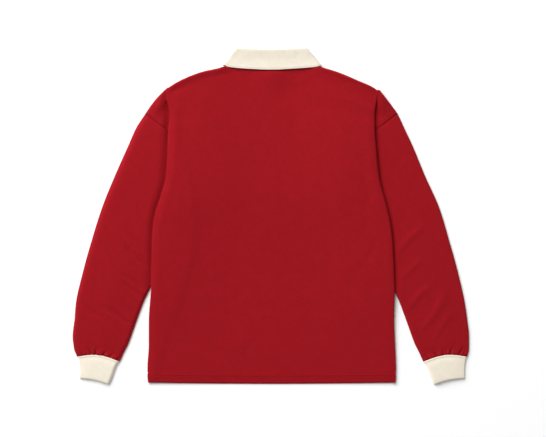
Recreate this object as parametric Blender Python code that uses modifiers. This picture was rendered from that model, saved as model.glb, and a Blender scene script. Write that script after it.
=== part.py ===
"""A long-sleeved knit polo shirt that lies flat, back up. Sizes are in millimetres, heights from the surface.

The garment is drawn in plan, x across and y towards the collar, from the line down its middle. Each piece
is a sheet that a function bends into place, and a Solidify modifier gives it the cloth's thickness.
Left and right are those of the wearer, which with the back up are also those seen from above.
"""

import math
from collections import namedtuple

import bmesh
import bpy

MM = 0.001
SHIRT = "knit_polo_shirt"

# The cloths, and the room between two layers and at a seam
JERSEY = 1.6
RIB = 2.2
PLACKET_CLOTH = 1.4
SEAM_GAP = 0.6
LAYER_GAP = 0.4
CUFF_GAP = 0.5

# Sizes of the whole garment, and where the middle of its box lies in the plan's own measures
MIDDLE_X = -1.5
MIDDLE_Y = -0.9
HEM_Y = -376.0
HEM_CURVE = 3.0
NECK_HALF = 105.0
SHOULDER_Y = 288.0
CROSSING_Y = 190.0

# The folded edges: the body's fold over the sleeve, the turn under it, and the sleeve's own edges
BODY_ROLL = 1.8
UNDER_ROLL = 1.0
SLEEVE_ROLL = 1.3
FRONT_Z = JERSEY / 2
SLEEVE_TOP_Z = FRONT_Z + 2 * SLEEVE_ROLL
OVER_SLEEVE_Z = SLEEVE_TOP_Z + 2 * UNDER_ROLL
BACK_Z = 2.9
SIDE_RETURN_Z = 2.7
STUB = 2.0

# The placket, its buttons and the collar's points lift the front and the back above them
PLACKET_WIDTH = 34.0
PLACKET_BOTTOM = 92.0
BUTTON_RADIUS = 5.75
BUTTON_THICKNESS = 2.3
BUTTON_YS = (246.0, 186.0, 126.0)
FRONT_LIFT = 2.5
BACK_LIFT = 4.3
LIFT_REACH = 80.0
LIFT_HALF = 48.0
LIFT_BOTTOM = 82.0
COLLAR_POINT_Y = 222.0

# Where the back's pleat has its whole depth, where the shoulders' slope ends and where the hem's curve starts
PLEAT_END_Y = 118.0
SLOPE_END_Y = 110.0
SHOULDER_ROLL_Y = 280.0
HEM_CURVE_Y = -240.0
HEM_HALF = 281.0

# How the back's height runs out from the folded edge, and how its soft folds fade at the edge and the middle
FLAT_PAST_RETURN = 6.0
EDGE_RUN_OUT = 70.0
FOLD_FADE_EDGE = 20.0
FOLD_FADE_MIDDLE = 40.0
NECK_FADE = 18.0

# The front's neckline, and how far its shoulders lie inside the back's
NECKLINE_TOP = 336.0
NECKLINE_DEPTH = 73.0
FRONT_INSET = 1.0

# The sleeve's soft crown, its puff above the cuff, and the ends of its two edges
CROWN = 1.8
CROWN_START = 0.2
CROWN_RISE = 0.3
GATHER_START = 0.86
PUFF = 0.9
SLEEVE_OUTER_END_Y = -318.0
SLEEVE_INNER_END_Y = -329.0

# The placket's strips, from the surface up: the buttons, the strip they go through, the one they are sewn on
PLACKET_OVER_TOP = 262.0
PLACKET_UNDER_TOP = 258.0
PLACKET_UNDER_EXTRA = 4.0
BUTTON_HOLE_RADIUS = 0.9
BUTTON_HOLE_RING = 1.7
PLACKET_OVER_Z = BUTTON_THICKNESS + 0.3 + PLACKET_CLOTH / 2
PLACKET_UNDER_Z = PLACKET_OVER_Z + PLACKET_CLOTH + SEAM_GAP

# Heights of the collar's four layers, from the surface up
LEAF_Z = RIB / 2
STAND_FRONT_Z = 3.6
STAND_BACK_Z = BACK_Z + BACK_LIFT
FALL_Z = STAND_BACK_Z + RIB + LAYER_GAP

Line = namedtuple("Line", "y left right")
Place = namedtuple("Place", "x y")
Pleat = namedtuple("Pleat", "y under_turn second_turn return_length return_height")
CuffLine = namedtuple("CuffLine", "down outer_left outer_right outer_y inner inner_y")
Gather = namedtuple("Gather", "across width depth")
Crease = namedtuple("Crease", "x0 y0 x1 y1 width depth")

# Half widths of the garment's outline, from the neck corner down the sleeve to its cuff
OUTLINE = (
    Line(337, 108, 110),
    Line(325, 159, 150),
    Line(307, 204, 193),
    Line(289, 238, 232),
    Line(271, 259, 250),
    Line(253, 275, 265),
    Line(231, 285, 284),
    Line(198, 306, 300),
    Line(162, 322, 317),
    Line(90, 354, 347),
    Line(18, 383, 379),
    Line(-55, 406, 401),
    Line(-127, 426, 421),
    Line(-199, 442, 437),
    Line(-235, 445, 442),
    Line(-272, 449, 446),
    Line(-300, 446, 446),
    Line(-318, 439, 442),
)

# Half widths of the body's folded edge, which lies over the sleeve down to y = -168 and is its side below
BODY_EDGE = (
    Line(288, 240, 240),
    Line(262, 238, 238),
    Line(228, 231, 234),
    Line(190, 234, 235),
    Line(137, 236, 239),
    Line(90, 239, 244),
    Line(47, 250, 254),
    Line(6, 263, 265),
    Line(-32, 269, 272),
    Line(-80, 271, 276),
    Line(-168, 273, 279),
    Line(-235, 277, 277),
    Line(-290, 277, 279),
    Line(-344, 280, 281),
    Line(-376, 280, 281),
)

# The armhole seam in plan: in sight down to the fold at y = 190, then under the body
ARMHOLE = (
    Place(284.5, 230.0),
    Place(259.5, 210.5),
    Place(234.5, 190.0),
    Place(223.0, 160.0),
    Place(216.0, 126.0),
    Place(218.0, 85.0),
    Place(235.0, 25.0),
    Place(263.0, -50.0),
)

# The sleeve's inner folded edge, from the underarm to the cuff
SLEEVE_INNER = (
    Place(263.0, -50.0),
    Place(262.0, -104.0),
    Place(265.5, -141.0),
    Place(275.5, -166.0),
    Place(287.0, -190.0),
    Place(304.0, -235.0),
    Place(324.0, -290.0),
    Place(333.0, -308.0),
    Place(342.5, -329.0),
)

# The front's side edge on the surface, just inside the sleeve and then under the back's side
FRONT_SIDE = (
    Place(262.0, -50.0),
    Place(259.0, -104.0),
    Place(261.5, -141.0),
    Place(269.0, -163.0),
    Place(274.0, -190.0),
    Place(275.0, -235.0),
    Place(278.5, -376.0),
)

# The back's pleat at the fold, from the shoulder down: turns in degrees
PLEATS = (
    Pleat(288, 0, 0, 0.0, OVER_SLEEVE_Z),
    Pleat(277, 45, 45, 2.0, OVER_SLEEVE_Z),
    Pleat(262, 100, 100, 2.5, OVER_SLEEVE_Z),
    Pleat(246, 160, 160, 6.0, OVER_SLEEVE_Z),
    Pleat(232, 180, 180, 12.0, OVER_SLEEVE_Z),
    Pleat(190, 180, 180, 20.0, OVER_SLEEVE_Z),
    Pleat(160, 180, 180, 21.5, OVER_SLEEVE_Z),
    Pleat(118, 180, 180, 20.0, OVER_SLEEVE_Z),
    Pleat(98, 180, 80, 20.5, OVER_SLEEVE_Z),
    Pleat(80, 180, 0, 21.0, OVER_SLEEVE_Z),
    Pleat(25, 180, 0, 24.0, OVER_SLEEVE_Z),
    Pleat(-50, 180, 0, 11.0, OVER_SLEEVE_Z),
    Pleat(-168, 180, 0, 8.0, OVER_SLEEVE_Z),
    Pleat(-205, 180, 0, 4.0, SIDE_RETURN_Z),
    Pleat(-376, 180, 0, 4.0, SIDE_RETURN_Z),
)

CUFF_LINES = (
    CuffLine(0.00, 436.5, 440.0, -318.0, 344.5, -328.6),
    CuffLine(0.25, 434.5, 437.5, -331.0, 351.0, -340.0),
    CuffLine(0.60, 432.8, 436.0, -348.5, 357.0, -357.0),
    CuffLine(1.00, 434.0, 436.2, -366.0, 366.0, -380.0),
)
SLEEVE_END_ARCH = 9.0
CUFF_END_ARCH = 3.6

# The small gathers of the sleeve above its cuff: place across it, width and depth
GATHERS = (
    Gather(0.11, 3.0, 1.4),
    Gather(0.33, 3.4, 1.6),
    Gather(0.48, 3.0, 0.9),
    Gather(0.62, 3.2, 1.5),
    Gather(0.75, 3.0, 1.3),
    Gather(0.91, 2.6, 1.0),
)

# The largest creases: soft troughs between two low ridges, from the body's edge out over each sleeve
SLEEVE_CREASES = {
    "left": (
        Crease(325, -72, 284, -114, 9, 0.7),
        Crease(327, -150, 290, -180, 9, 0.7),
        Crease(376, -207, 320, -247, 11, 0.9),
    ),
    "right": (
        Crease(341, -32, 286, -94, 10, 0.9),
        Crease(336, -122, 306, -156, 8, 0.6),
        Crease(358, -172, 313, -229, 10, 0.8),
        Crease(392, -195, 347, -263, 11, 0.9),
    ),
}

# The long soft folds of the back, as low ridges: across the shoulders and down the left side
BACK_FOLDS = {
    "left": (
        Crease(236, 268, 180, 290, 13, -0.8),
        Crease(140, 312, 84, 322, 12, -0.7),
        Crease(168, 90, 160, -28, 26, -0.9),
        Crease(160, -28, 200, -138, 26, -1.1),
        Crease(200, -138, 234, -240, 28, -0.9),
        Crease(44, -225, 88, -330, 26, -0.6),
    ),
    "right": (
        Crease(234, 268, 158, 308, 13, -1.0),
        Crease(150, 312, 108, 326, 12, -0.8),
        Crease(150, 150, 166, 20, 30, -0.7),
        Crease(120, -190, 160, -320, 30, -0.6),
    ),
}

# The collar in plan: its seam to the body, its roll at the top and its free edge, back and front
COLLAR_SEAM_BACK = (Place(0, 333.4), Place(60, 334.6), Place(104, 339))
COLLAR_ROLL_BACK = (Place(0, 375.2), Place(45, 376.6), Place(81, 378.6))
COLLAR_EDGE_BACK = (Place(0, 329), Place(60, 331.5), Place(109, 340.8))
COLLAR_ROLL_END = Place(14, 292)
COLLAR_SEAM_END = Place(17.4, 265.5)
COLLAR_TIP = Place(62, 222)

# The cosine of the angle at which the collar's side leans, seen from above
SIDE_SLOPE = 0.8

# How finely each sheet is divided
BACK_STEPS = (0.0, 0.22, 0.44, 0.62, 0.78)
SIDE_TURNS = (0, 30, 60, 90, 120, 150, 180)
FRONT_STEPS = (0.08, 0.2, 0.36, 0.52, 0.68, 0.84, 1.0)
STAND_STEPS = 3
FALL_STEPS = 4
BACK_INNER = (0.0, 0.2, 0.38, 0.54, 0.67, 0.77, 0.85, 0.91, 0.96, 1.0)
BACK_ROWS = (288, 287.6, 286.6, 280, 270, 259, 248, 236, 222, 207, 190, 170, 150, 134, 118, 108, 98, 80,
             52, 20, -25, -75, -125, -165, -205, -290, -376)
FRONT_SKIPS = (287.6, 286.6, 280, 259, 236, 108, 98)
ROLL_STEPS = 4
RETURN_STEPS = 2
UNDER_STEPS = 3
CAP_STEPS = 4
FRONT_COLUMNS = (17.0, 38.0, 60.0, 78.0, 91.0, 100.0, 105.0, 128.0, 152.0, 178.0, 208.0)
FRONT_OUTER = (0.5, 1.0)
SLEEVE_RINGS = (0, 0.07, 0.15, 0.24, 0.34, 0.45, 0.56, 0.67, 0.77, 0.855, 0.91, 0.955, 1.0)
SLEEVE_TOPS = 19
SLEEVE_BOTTOMS = 9
CUFF_BOTTOMS = 4
CUFF_TOPS = 8
CUFF_RINGS = (0.0, 0.25, 0.6, 1.0)
PLACKET_ROWS = 6
LEAST_STEP = 0.3


def line_through(points):
    """A smooth line through (place, value) points, which never overshoots between two of them."""
    points = sorted(points)
    places = [place for place, _ in points]
    values = [value for _, value in points]
    slopes = [
        (values[i + 1] - values[i]) / (places[i + 1] - places[i]) for i in range(len(points) - 1)
    ]
    tangents = [slopes[0]]
    for before, after in zip(slopes, slopes[1:]):
        tangents.append(0.0 if before * after <= 0 else 2 * before * after / (before + after))
    tangents.append(slopes[-1])

    def at(place):
        place = min(max(place, places[0]), places[-1])
        i = max(k for k in range(len(slopes)) if places[k] <= place)
        run = places[i + 1] - places[i]
        t = (place - places[i]) / run
        rise = values[i + 1] - values[i]
        bend = tangents[i] * run * t * (1 - t) ** 2 - tangents[i + 1] * run * t * t * (1 - t)
        return values[i] + rise * t * t * (3 - 2 * t) + bend

    return at


def smooth_step(value):
    value = min(max(value, 0.0), 1.0)
    return value * value * (3 - 2 * value)


def lerp(start, end, share):
    return start + (end - start) * share


def blend(start, end, share):
    return Place(lerp(start.x, end.x, share), lerp(start.y, end.y, share))


def table_line(table, column):
    return line_through([(row.y, getattr(row, column)) for row in table])


def track_through(places):
    """A curve in plan through places, for a share from 0 to 1 of its length."""
    lengths = [0.0]
    for before, after in zip(places, places[1:]):
        lengths.append(lengths[-1] + math.dist(before, after))
    x_line = line_through([(s / lengths[-1], p.x) for s, p in zip(lengths, places)])
    y_line = line_through([(s / lengths[-1], p.y) for s, p in zip(lengths, places)])
    return lambda share: Place(x_line(share), y_line(share))


SHOULDERS = {
    side: line_through(
        [(0, 332.6), (60, 333.3)] + [(getattr(row, side), row.y - JERSEY / 2) for row in OUTLINE[:5]]
    )
    for side in ("left", "right")
}
EDGES = {side: table_line(BODY_EDGE, side) for side in ("left", "right")}
OUTER = {side: table_line(OUTLINE, side) for side in ("left", "right")}
INNER_EDGE = table_line(SLEEVE_INNER, "x")
FRONT_SIDE_EDGE = table_line(FRONT_SIDE, "x")
ARMHOLE_X = table_line(ARMHOLE, "x")
CAP_BULGE = {"left": 5.5, "right": 0.8}
PLEAT = {
    name: table_line(PLEATS, name)
    for name in ("under_turn", "second_turn", "return_length", "return_height")
}


ARMHOLE_LENGTHS = [0.0]
for before, after in zip(ARMHOLE, ARMHOLE[1:]):
    ARMHOLE_LENGTHS.append(ARMHOLE_LENGTHS[-1] + math.dist(before, after))
ARMHOLE_Y = line_through([(s / ARMHOLE_LENGTHS[-1], p.y) for s, p in zip(ARMHOLE_LENGTHS, ARMHOLE)])


def armhole_place(share):
    """The place on the armhole seam at a share of its length, from the shoulder to the underarm."""
    y = ARMHOLE_Y(share)
    return Place(ARMHOLE_X(y), y)


def beside_armhole(place, room):
    """A place on the armhole seam, moved off it by room towards the body, or the sleeve if room is negative."""
    slope = ARMHOLE_X(place.y + 1.0) - ARMHOLE_X(place.y)
    length = math.hypot(1.0, slope)
    return Place(place.x - room / length, place.y + room * slope / length)


def crease_relief(creases, x, y):
    """Height that creases add at a place. A trough has a low ridge on each side, a negative depth is a ridge."""
    total = 0.0
    for crease in creases:
        run_x, run_y = crease.x1 - crease.x0, crease.y1 - crease.y0
        share = ((x - crease.x0) * run_x + (y - crease.y0) * run_y) / (run_x**2 + run_y**2)
        share = min(max(share, 0.0), 1.0)
        off = math.hypot(x - crease.x0 - share * run_x, y - crease.y0 - share * run_y) / crease.width
        shape = math.exp(-off * off)
        if crease.depth > 0:
            shape *= 1 - 2 * off * off
        total -= crease.depth * shape
    return total


def lifted(x, y):
    """Share, from 0 to 1, of the lift that the collar's points and the placket give the cloth over them."""
    x = abs(x)
    past_collar = math.hypot(max(x - NECK_HALF, 0.0), max(COLLAR_POINT_Y - y, 0.0))
    past_placket = math.hypot(max(x - LIFT_HALF, 0.0), max(LIFT_BOTTOM - y, 0.0))
    return 1.0 - smooth_step(min(past_collar, past_placket) / LIFT_REACH)


def front_height(x, y):
    return FRONT_Z + FRONT_LIFT * lifted(x, y)


def back_height(x, y):
    return BACK_Z + BACK_LIFT * lifted(x, y)


def slope_share(row_y):
    """How far a row still follows the slope of the shoulders: all at the top, not at all from the armhole."""
    return smooth_step((row_y - SLOPE_END_Y) / (SHOULDER_Y - SLOPE_END_Y))


def hem_drop(x, row_y):
    share = smooth_step((HEM_CURVE_Y - row_y) / (HEM_CURVE_Y - HEM_Y))
    return HEM_CURVE * share * (1 - min(abs(x) / HEM_HALF, 1.0) ** 2)


def row_place(row_y, x, top_line):
    """Where a row that meets the fold at row_y runs at x, in y."""
    return row_y + (top_line(x) - SHOULDER_Y) * slope_share(row_y) - hem_drop(x, row_y)


def seam_place(row_y):
    """Where a row ends at the armhole seam, or at the front's side below the underarm."""
    if row_y > CROSSING_Y:
        share = (SHOULDER_Y - row_y) / (SHOULDER_Y - CROSSING_Y)
        seam_y = lerp(ARMHOLE[0].y, CROSSING_Y, share)
        return Place(ARMHOLE_X(seam_y), seam_y)
    if row_y > ARMHOLE[-1].y:
        return Place(ARMHOLE_X(row_y), row_y)
    return Place(FRONT_SIDE_EDGE(row_y), row_y)


def cap_place(side, row_y, start, share):
    """A place on the cap of the shoulder, between the fold and the seam, bulging along the outline."""
    end = seam_place(row_y)
    place = blend(start, end, share)
    along = smooth_step((row_y - CROSSING_Y) / (SHOULDER_Y - CROSSING_Y))
    bulge = CAP_BULGE[side] * math.sin(math.pi * share) * along
    length = math.dist(start, end)
    if length < 1.0:
        return place
    outward = ((start.y - end.y) / length, (end.x - start.x) / length)
    place = Place(place.x + bulge * outward[0], place.y + bulge * outward[1])
    clear = beside_armhole(end, SEAM_GAP / 2)
    return Place(place.x + (clear.x - end.x) * share, place.y + (clear.y - end.y) * share)


def shoulder_roll(height, low, row_y):
    """Height of the cloth where it rolls down at the shoulder's edge, row_y from its top."""
    radius = height - low
    past = SHOULDER_Y - row_y
    if radius <= 0 or past >= radius:
        return height
    return low + math.sqrt(radius * radius - (radius - past) ** 2)


def roll_step(radius, turn, steps):
    """Length of one straight step of a roll, which keeps a little length where the cloth hardly turns."""
    return max(2 * radius * math.sin(turn / steps / 2), LEAST_STEP)


def back_side_path(side, row_y):
    """One row of the back past its inner part: the fold, the return, the second turn and the cap."""
    turn = math.radians(PLEAT["under_turn"](row_y))
    second = math.radians(PLEAT["second_turn"](row_y))
    length = PLEAT["return_length"](row_y) + EDGES[side](row_y) - EDGES["left"](row_y)
    x = EDGES[side](row_y) - JERSEY / 2 - BODY_ROLL
    drop = BODY_ROLL * (1 - math.cos(turn)) + length * math.sin(turn)
    if row_y > PLEAT_END_Y:
        low = SLEEVE_TOP_Z + UNDER_ROLL * (1 - math.cos(turn))
    else:
        low = PLEAT["return_height"](row_y)
    start = (x, low + drop)
    steps = [
        (-turn * (i + 0.5) / ROLL_STEPS, roll_step(BODY_ROLL, turn, ROLL_STEPS)) for i in range(ROLL_STEPS)
    ]
    steps += [(-turn, max(length, 2 * LEAST_STEP) / RETURN_STEPS)] * RETURN_STEPS
    steps += [
        (second * (i + 0.5) / UNDER_STEPS - turn, roll_step(UNDER_ROLL, second, UNDER_STEPS))
        for i in range(UNDER_STEPS)
    ]
    path = [start]
    for heading, step in steps:
        path.append((path[-1][0] + step * math.cos(heading), path[-1][1] + step * math.sin(heading)))
    path = path[1:]
    return start, path, second - turn


def back_rows(side):
    """Every place of the back on one side, row by row, from the middle to the seam."""
    rows = []
    for row_y in BACK_ROWS:
        start, path, heading = back_side_path(side, row_y)
        row = []
        flat = PLEAT["return_length"](row_y) + FLAT_PAST_RETURN
        edge_y = row_place(row_y, start[0], SHOULDERS[side])
        rise = start[1] - back_height(start[0], edge_y)
        for share in BACK_INNER:
            x = share * start[0]
            y = row_place(row_y, x, SHOULDERS[side])
            past = start[0] - x
            inner = smooth_step(past / FOLD_FADE_EDGE) * smooth_step(x / FOLD_FADE_MIDDLE)
            ridge = 1 - 0.1 * min(past / flat, 1.0)
            ridge *= 1 - smooth_step((past - flat) / EDGE_RUN_OUT)
            height = back_height(x, y) + rise * ridge + crease_relief(BACK_FOLDS[side], x, y) * inner
            low = front_height(x, y) + JERSEY / 2 + LAYER_GAP
            rolled = shoulder_roll(height, low, row_y)
            near_neck = smooth_step((NECK_HALF + NECK_FADE - x) / NECK_FADE)
            row.append((x, y, lerp(rolled, height, near_neck)))
        low = front_height(start[0], edge_y) + JERSEY / 2 + LAYER_GAP
        for x, z in path:
            row.append((x, edge_y, shoulder_roll(z, low, row_y) if row_y > SHOULDER_ROLL_Y else z))
        last = path[-1]
        for i in range(1, CAP_STEPS + 1):
            share = i / CAP_STEPS
            if row_y >= PLEAT_END_Y:
                place = cap_place(side, row_y, Place(last[0], edge_y), share)
                z = shoulder_roll(last[1], low, row_y) if row_y > SHOULDER_ROLL_Y else last[1]
                row.append((place.x, place.y, z))
            else:
                run = STUB * share
                row.append((last[0] + run * math.cos(heading), edge_y, last[1] + run * math.sin(heading)))
        rows.append(row)
    return rows


def mapped_sheet(columns, rows, place, closed=False):
    """A grid of faces whose points a function places, for a column and a row. A closed one is a tube."""
    bm = bmesh.new()
    bmesh.ops.create_grid(bm, x_segments=columns, y_segments=rows, size=0.5)
    for vert in bm.verts:
        column = round((vert.co.x + 0.5) * columns)
        row = round((vert.co.y + 0.5) * rows)
        x, y, z = place(column, row)
        vert.co = ((x - MIDDLE_X) * MM, (y - MIDDLE_Y) * MM, z * MM)
    if closed:
        bmesh.ops.remove_doubles(bm, verts=bm.verts, dist=1e-6)
    return bm


def finished(name, bm, material, collection, wall=0.0):
    """The object made of a mesh, with the cloth's thickness around it where wall is given."""
    mesh = bpy.data.meshes.new(name)
    bm.to_mesh(mesh)
    bm.free()
    mesh.shade_smooth()
    mesh.materials.append(material)
    item = bpy.data.objects.new(name, mesh)
    collection.objects.link(item)
    if wall:
        thickness = item.modifiers.new("cloth", "SOLIDIFY")
        thickness.thickness = wall * MM
        thickness.offset = 0.0
    return item


def make_back(material, collection):
    left, right = back_rows("left"), back_rows("right")
    half = len(left[0]) - 1

    def place(column, row):
        across = column - half
        x, y, z = (left if across < 0 else right)[row][abs(across)]
        return (-x if across < 0 else x), y, z

    bm = mapped_sheet(2 * half, len(BACK_ROWS) - 1, place)
    return finished("back", bm, material, collection, JERSEY)


def front_top(x):
    """The front's top edge: the deep neckline between the shoulders' ends at the neck."""
    x = abs(x)
    across = max(NECK_HALF - x, 0.0) / (NECK_HALF - PLACKET_WIDTH / 2)
    return NECKLINE_TOP - NECKLINE_DEPTH * math.sqrt(1 - (1 - min(across, 1.0)) ** 2)


def front_rows(side):
    rows = []
    shoulder = SHOULDERS[side]

    def top_line(x):
        return front_top(x) if x < NECK_HALF else shoulder(x) - FRONT_INSET

    for row_y in [y for y in BACK_ROWS if y not in FRONT_SKIPS]:
        end = seam_place(row_y)
        edge = EDGES[side](row_y) - JERSEY / 2 - BODY_ROLL
        if row_y <= CROSSING_Y:
            edge = min(edge, (FRONT_COLUMNS[-1] + end.x) / 2)
        middle_y = row_place(row_y, PLACKET_WIDTH / 2, top_line)
        row = [(0.0, middle_y, front_height(0.0, middle_y))]
        for x in FRONT_COLUMNS:
            y = row_place(row_y, x, top_line)
            row.append((x, y, front_height(x, y)))
        last = Place(row[-1][0], row[-1][1])
        for share in FRONT_OUTER:
            x = lerp(last.x, edge, share)
            y = row_place(row_y, x, top_line)
            row.append((x, y, front_height(x, y)))
        start = Place(row[-1][0], row[-1][1])
        for share in (0.5, 1.0):
            if row_y > CROSSING_Y:
                place = cap_place(side, row_y, start, share)
            else:
                clear = beside_armhole(end, SEAM_GAP / 2)
                place = blend(start, clear, share)
            row.append((place.x, place.y, front_height(place.x, place.y)))
        rows.append(row)
    return rows


def make_front(material, collection):
    left, right = front_rows("left"), front_rows("right")
    half = len(left[0]) - 1

    def place(column, row):
        across = column - half
        x, y, z = (left if across < 0 else right)[row][abs(across)]
        return (-x if across < 0 else x), y, z

    bm = mapped_sheet(2 * half, len(left) - 1, place)
    middles = [(face, face.calc_center_median()) for face in bm.faces]
    slit = [
        face
        for face, middle in middles
        if abs(middle.x + MIDDLE_X * MM) < PLACKET_WIDTH / 2 * MM
        and middle.y + MIDDLE_Y * MM > PLACKET_BOTTOM * MM
    ]
    bmesh.ops.delete(bm, geom=slit, context="FACES")
    return finished("front", bm, material, collection, JERSEY)


def tube_section(width, wall, roll, tops, bottoms):
    """Round a flattened tube: (distance across, height, share across the top or None) for each point."""
    inset = wall / 2 + roll
    points = []
    middle = wall / 2 + roll
    for i in range(4):
        angle = math.radians(-90 - 45 * i)
        points.append((inset + roll * math.cos(angle), middle + roll * math.sin(angle), None))
    for i in range(tops + 1):
        share = i / tops
        points.append((lerp(inset, width - inset, share), middle + roll, share))
    for i in range(1, 5):
        angle = math.radians(90 - 45 * i)
        points.append((width - inset + roll * math.cos(angle), middle + roll * math.sin(angle), None))
    for i in range(1, bottoms + 1):
        points.append((lerp(width - inset, inset, i / bottoms), wall / 2, None))
    return points


def sleeve_ring(side, along):
    """The line of one ring of the sleeve in plan, from its outer edge to its inner one."""
    top, underarm = ARMHOLE[0], ARMHOLE[-1]
    outer_y = lerp(top.y, SLEEVE_OUTER_END_Y, along)
    outer = Place(OUTER[side](outer_y) if along else top.x, outer_y)
    inner_y = lerp(underarm.y, SLEEVE_INNER_END_Y, along)
    inner = Place(INNER_EDGE(inner_y), inner_y)
    arch = SLEEVE_END_ARCH * along**6

    def at(share):
        bend = (1 - along) ** (2 + 40 * share * share)
        chord = blend(outer, inner, share)
        seam = armhole_place(share)
        from_seam = blend(top, underarm, share)
        x = chord.x + bend * (seam.x - from_seam.x)
        y = chord.y + bend * (seam.y - from_seam.y) + arch * math.sin(math.pi * share)
        clear = beside_armhole(seam, -SEAM_GAP / 2 * (1 - along) ** 8)
        return Place(x + clear.x - seam.x, y + clear.y - seam.y)

    return at, math.dist(outer, inner)


def sleeve_top(share, along, width):
    """How far the sleeve's upper layer rises over its flat height: a soft crown, then gathers at the cuff."""
    crown = CROWN * math.sin(math.pi * share) ** 2 * smooth_step((along - CROWN_START) / CROWN_RISE)
    crown *= 1 - 0.5 * smooth_step((along - 0.85) / 0.15)
    near_cuff = smooth_step((along - GATHER_START) / 0.1)
    dips = sum(g.depth * math.exp(-(((share - g.across) * width / g.width) ** 2)) for g in GATHERS)
    puff = PUFF * smooth_step(share * (1 - share) * 12)
    return crown + near_cuff * (puff - dips)


def make_sleeve(side, material, collection):
    sign = -1 if side == "left" else 1
    rings = []
    for along in SLEEVE_RINGS:
        at, width = sleeve_ring(side, along)
        ring = []
        for across, z, share in tube_section(width, JERSEY, SLEEVE_ROLL, SLEEVE_TOPS, SLEEVE_BOTTOMS):
            place = at(across / width)
            if share is not None:
                z += sleeve_top(share, along, width) + crease_relief(SLEEVE_CREASES[side], place.x, place.y)
            ring.append((sign * place.x, place.y, z))
        rings.append(ring)
    bm = mapped_sheet(len(rings[0]) - 1, len(rings) - 1, lambda c, r: rings[r][c], closed=True)
    return finished("sleeve_" + side, bm, material, collection, JERSEY)


def make_cuff(side, material, collection):
    sign = -1 if side == "left" else 1
    outer_x = line_through([(row.down, getattr(row, "outer_" + side)) for row in CUFF_LINES])
    outer_y = line_through([(row.down, row.outer_y) for row in CUFF_LINES])
    inner_x = line_through([(row.down, row.inner) for row in CUFF_LINES])
    inner_y = line_through([(row.down, row.inner_y) for row in CUFF_LINES])
    rings = []
    for down in CUFF_RINGS:
        outer = Place(outer_x(down), outer_y(down) - CUFF_GAP)
        inner = Place(inner_x(down), inner_y(down) - CUFF_GAP)
        width = math.dist(outer, inner)
        arch = lerp(SLEEVE_END_ARCH, CUFF_END_ARCH, down)
        ring = []
        for across, z, share in tube_section(width, RIB, SLEEVE_ROLL, CUFF_TOPS, CUFF_BOTTOMS):
            place = blend(outer, inner, across / width)
            y = place.y + arch * math.sin(math.pi * across / width)
            ring.append((sign * place.x, y, z))
        rings.append(ring)
    bm = mapped_sheet(len(rings[0]) - 1, len(rings) - 1, lambda c, r: rings[r][c], closed=True)
    return finished("cuff_" + side, bm, material, collection, RIB)


def quarter_curve(start, end, share):
    """A quarter of an ellipse, which leaves its start downwards and reaches its end sideways."""
    angle = math.radians(90 * share)
    return Place(lerp(end.x, start.x, math.cos(angle)), lerp(start.y, end.y, math.sin(angle)))


def collar_column(seam, roll, edge, turn):
    """Points across the collar at one place along it, its fall turned about the neck by turn degrees."""
    middle_z = (FALL_Z + LEAF_Z) / 2
    stand_out = (STAND_BACK_Z - STAND_FRONT_Z) / 2
    fall_out = (FALL_Z - LEAF_Z) / 2
    up, out = math.cos(math.radians(turn)), math.sin(math.radians(turn))
    along = (roll.x - seam.x, roll.y - seam.y)
    length = math.hypot(*along)
    along = (along[0] / length, along[1] / length)

    def point(place, offset):
        return place.x + offset * out / SIDE_SLOPE, place.y, middle_z + offset * up

    column = []
    radius = (fall_out - stand_out) / 2
    crest = Place(roll.x - along[0] * (radius + RIB / 2), roll.y - along[1] * (radius + RIB / 2))
    for i in range(STAND_STEPS):
        column.append(point(blend(seam, crest, i / STAND_STEPS), stand_out))
    for i in range(5):
        angle = math.radians(45 * i)
        ahead = radius * math.sin(angle)
        place = Place(crest.x + along[0] * ahead, crest.y + along[1] * ahead)
        column.append(point(place, (stand_out + fall_out) / 2 - radius * math.cos(angle)))
    for i in range(1, FALL_STEPS + 1):
        column.append(point(blend(crest, edge, i / FALL_STEPS), fall_out))
    return column


def collar_half():
    """The collar's columns from the middle of the back to one front end."""
    tracks = [track_through(places) for places in (COLLAR_SEAM_BACK, COLLAR_ROLL_BACK, COLLAR_EDGE_BACK)]
    columns = []
    for share in BACK_STEPS:
        columns.append(collar_column(*[track(share) for track in tracks], 0))
    inset = ((FALL_Z - LEAF_Z) / 2 + RIB / 2) / SIDE_SLOPE
    seam, roll, edge = [Place(track(1.0).x - inset, track(1.0).y) for track in tracks]
    for turn in SIDE_TURNS:
        columns.append(collar_column(seam, roll, edge, turn))
    for share in FRONT_STEPS:
        columns.append(
            collar_column(
                quarter_curve(seam, COLLAR_SEAM_END, share),
                quarter_curve(roll, COLLAR_ROLL_END, share),
                blend(edge, COLLAR_TIP, share),
                180,
            )
        )
    return columns


def make_collar(material, collection):
    columns = collar_half()
    half = len(columns) - 1

    def place(column, row):
        across = column - half
        x, y, z = columns[abs(across)][row]
        return (-x if across < 0 else x), y, z

    bm = mapped_sheet(2 * half, len(columns[0]) - 1, place)
    return finished("collar", bm, material, collection, RIB)


def make_placket(name, width, top, bottom, height, material, collection):
    def place(column, row):
        return (column - 1) * width / 2, lerp(top, bottom, row / PLACKET_ROWS), height

    bm = mapped_sheet(2, PLACKET_ROWS, place)
    return finished(name, bm, material, collection, PLACKET_CLOTH)


def button_profile():
    """Half of the button's section, down its outer side: a dished top, a round rim and a flat back."""
    half = BUTTON_THICKNESS / 2
    return (
        (0.0, half - 0.5),
        (BUTTON_RADIUS - 2.0, half - 0.5),
        (BUTTON_RADIUS - 1.2, half),
        (BUTTON_RADIUS - 0.5, half),
        (BUTTON_RADIUS, 0.0),
        (BUTTON_RADIUS - 0.5, -half),
        (0.0, -half),
    )


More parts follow.
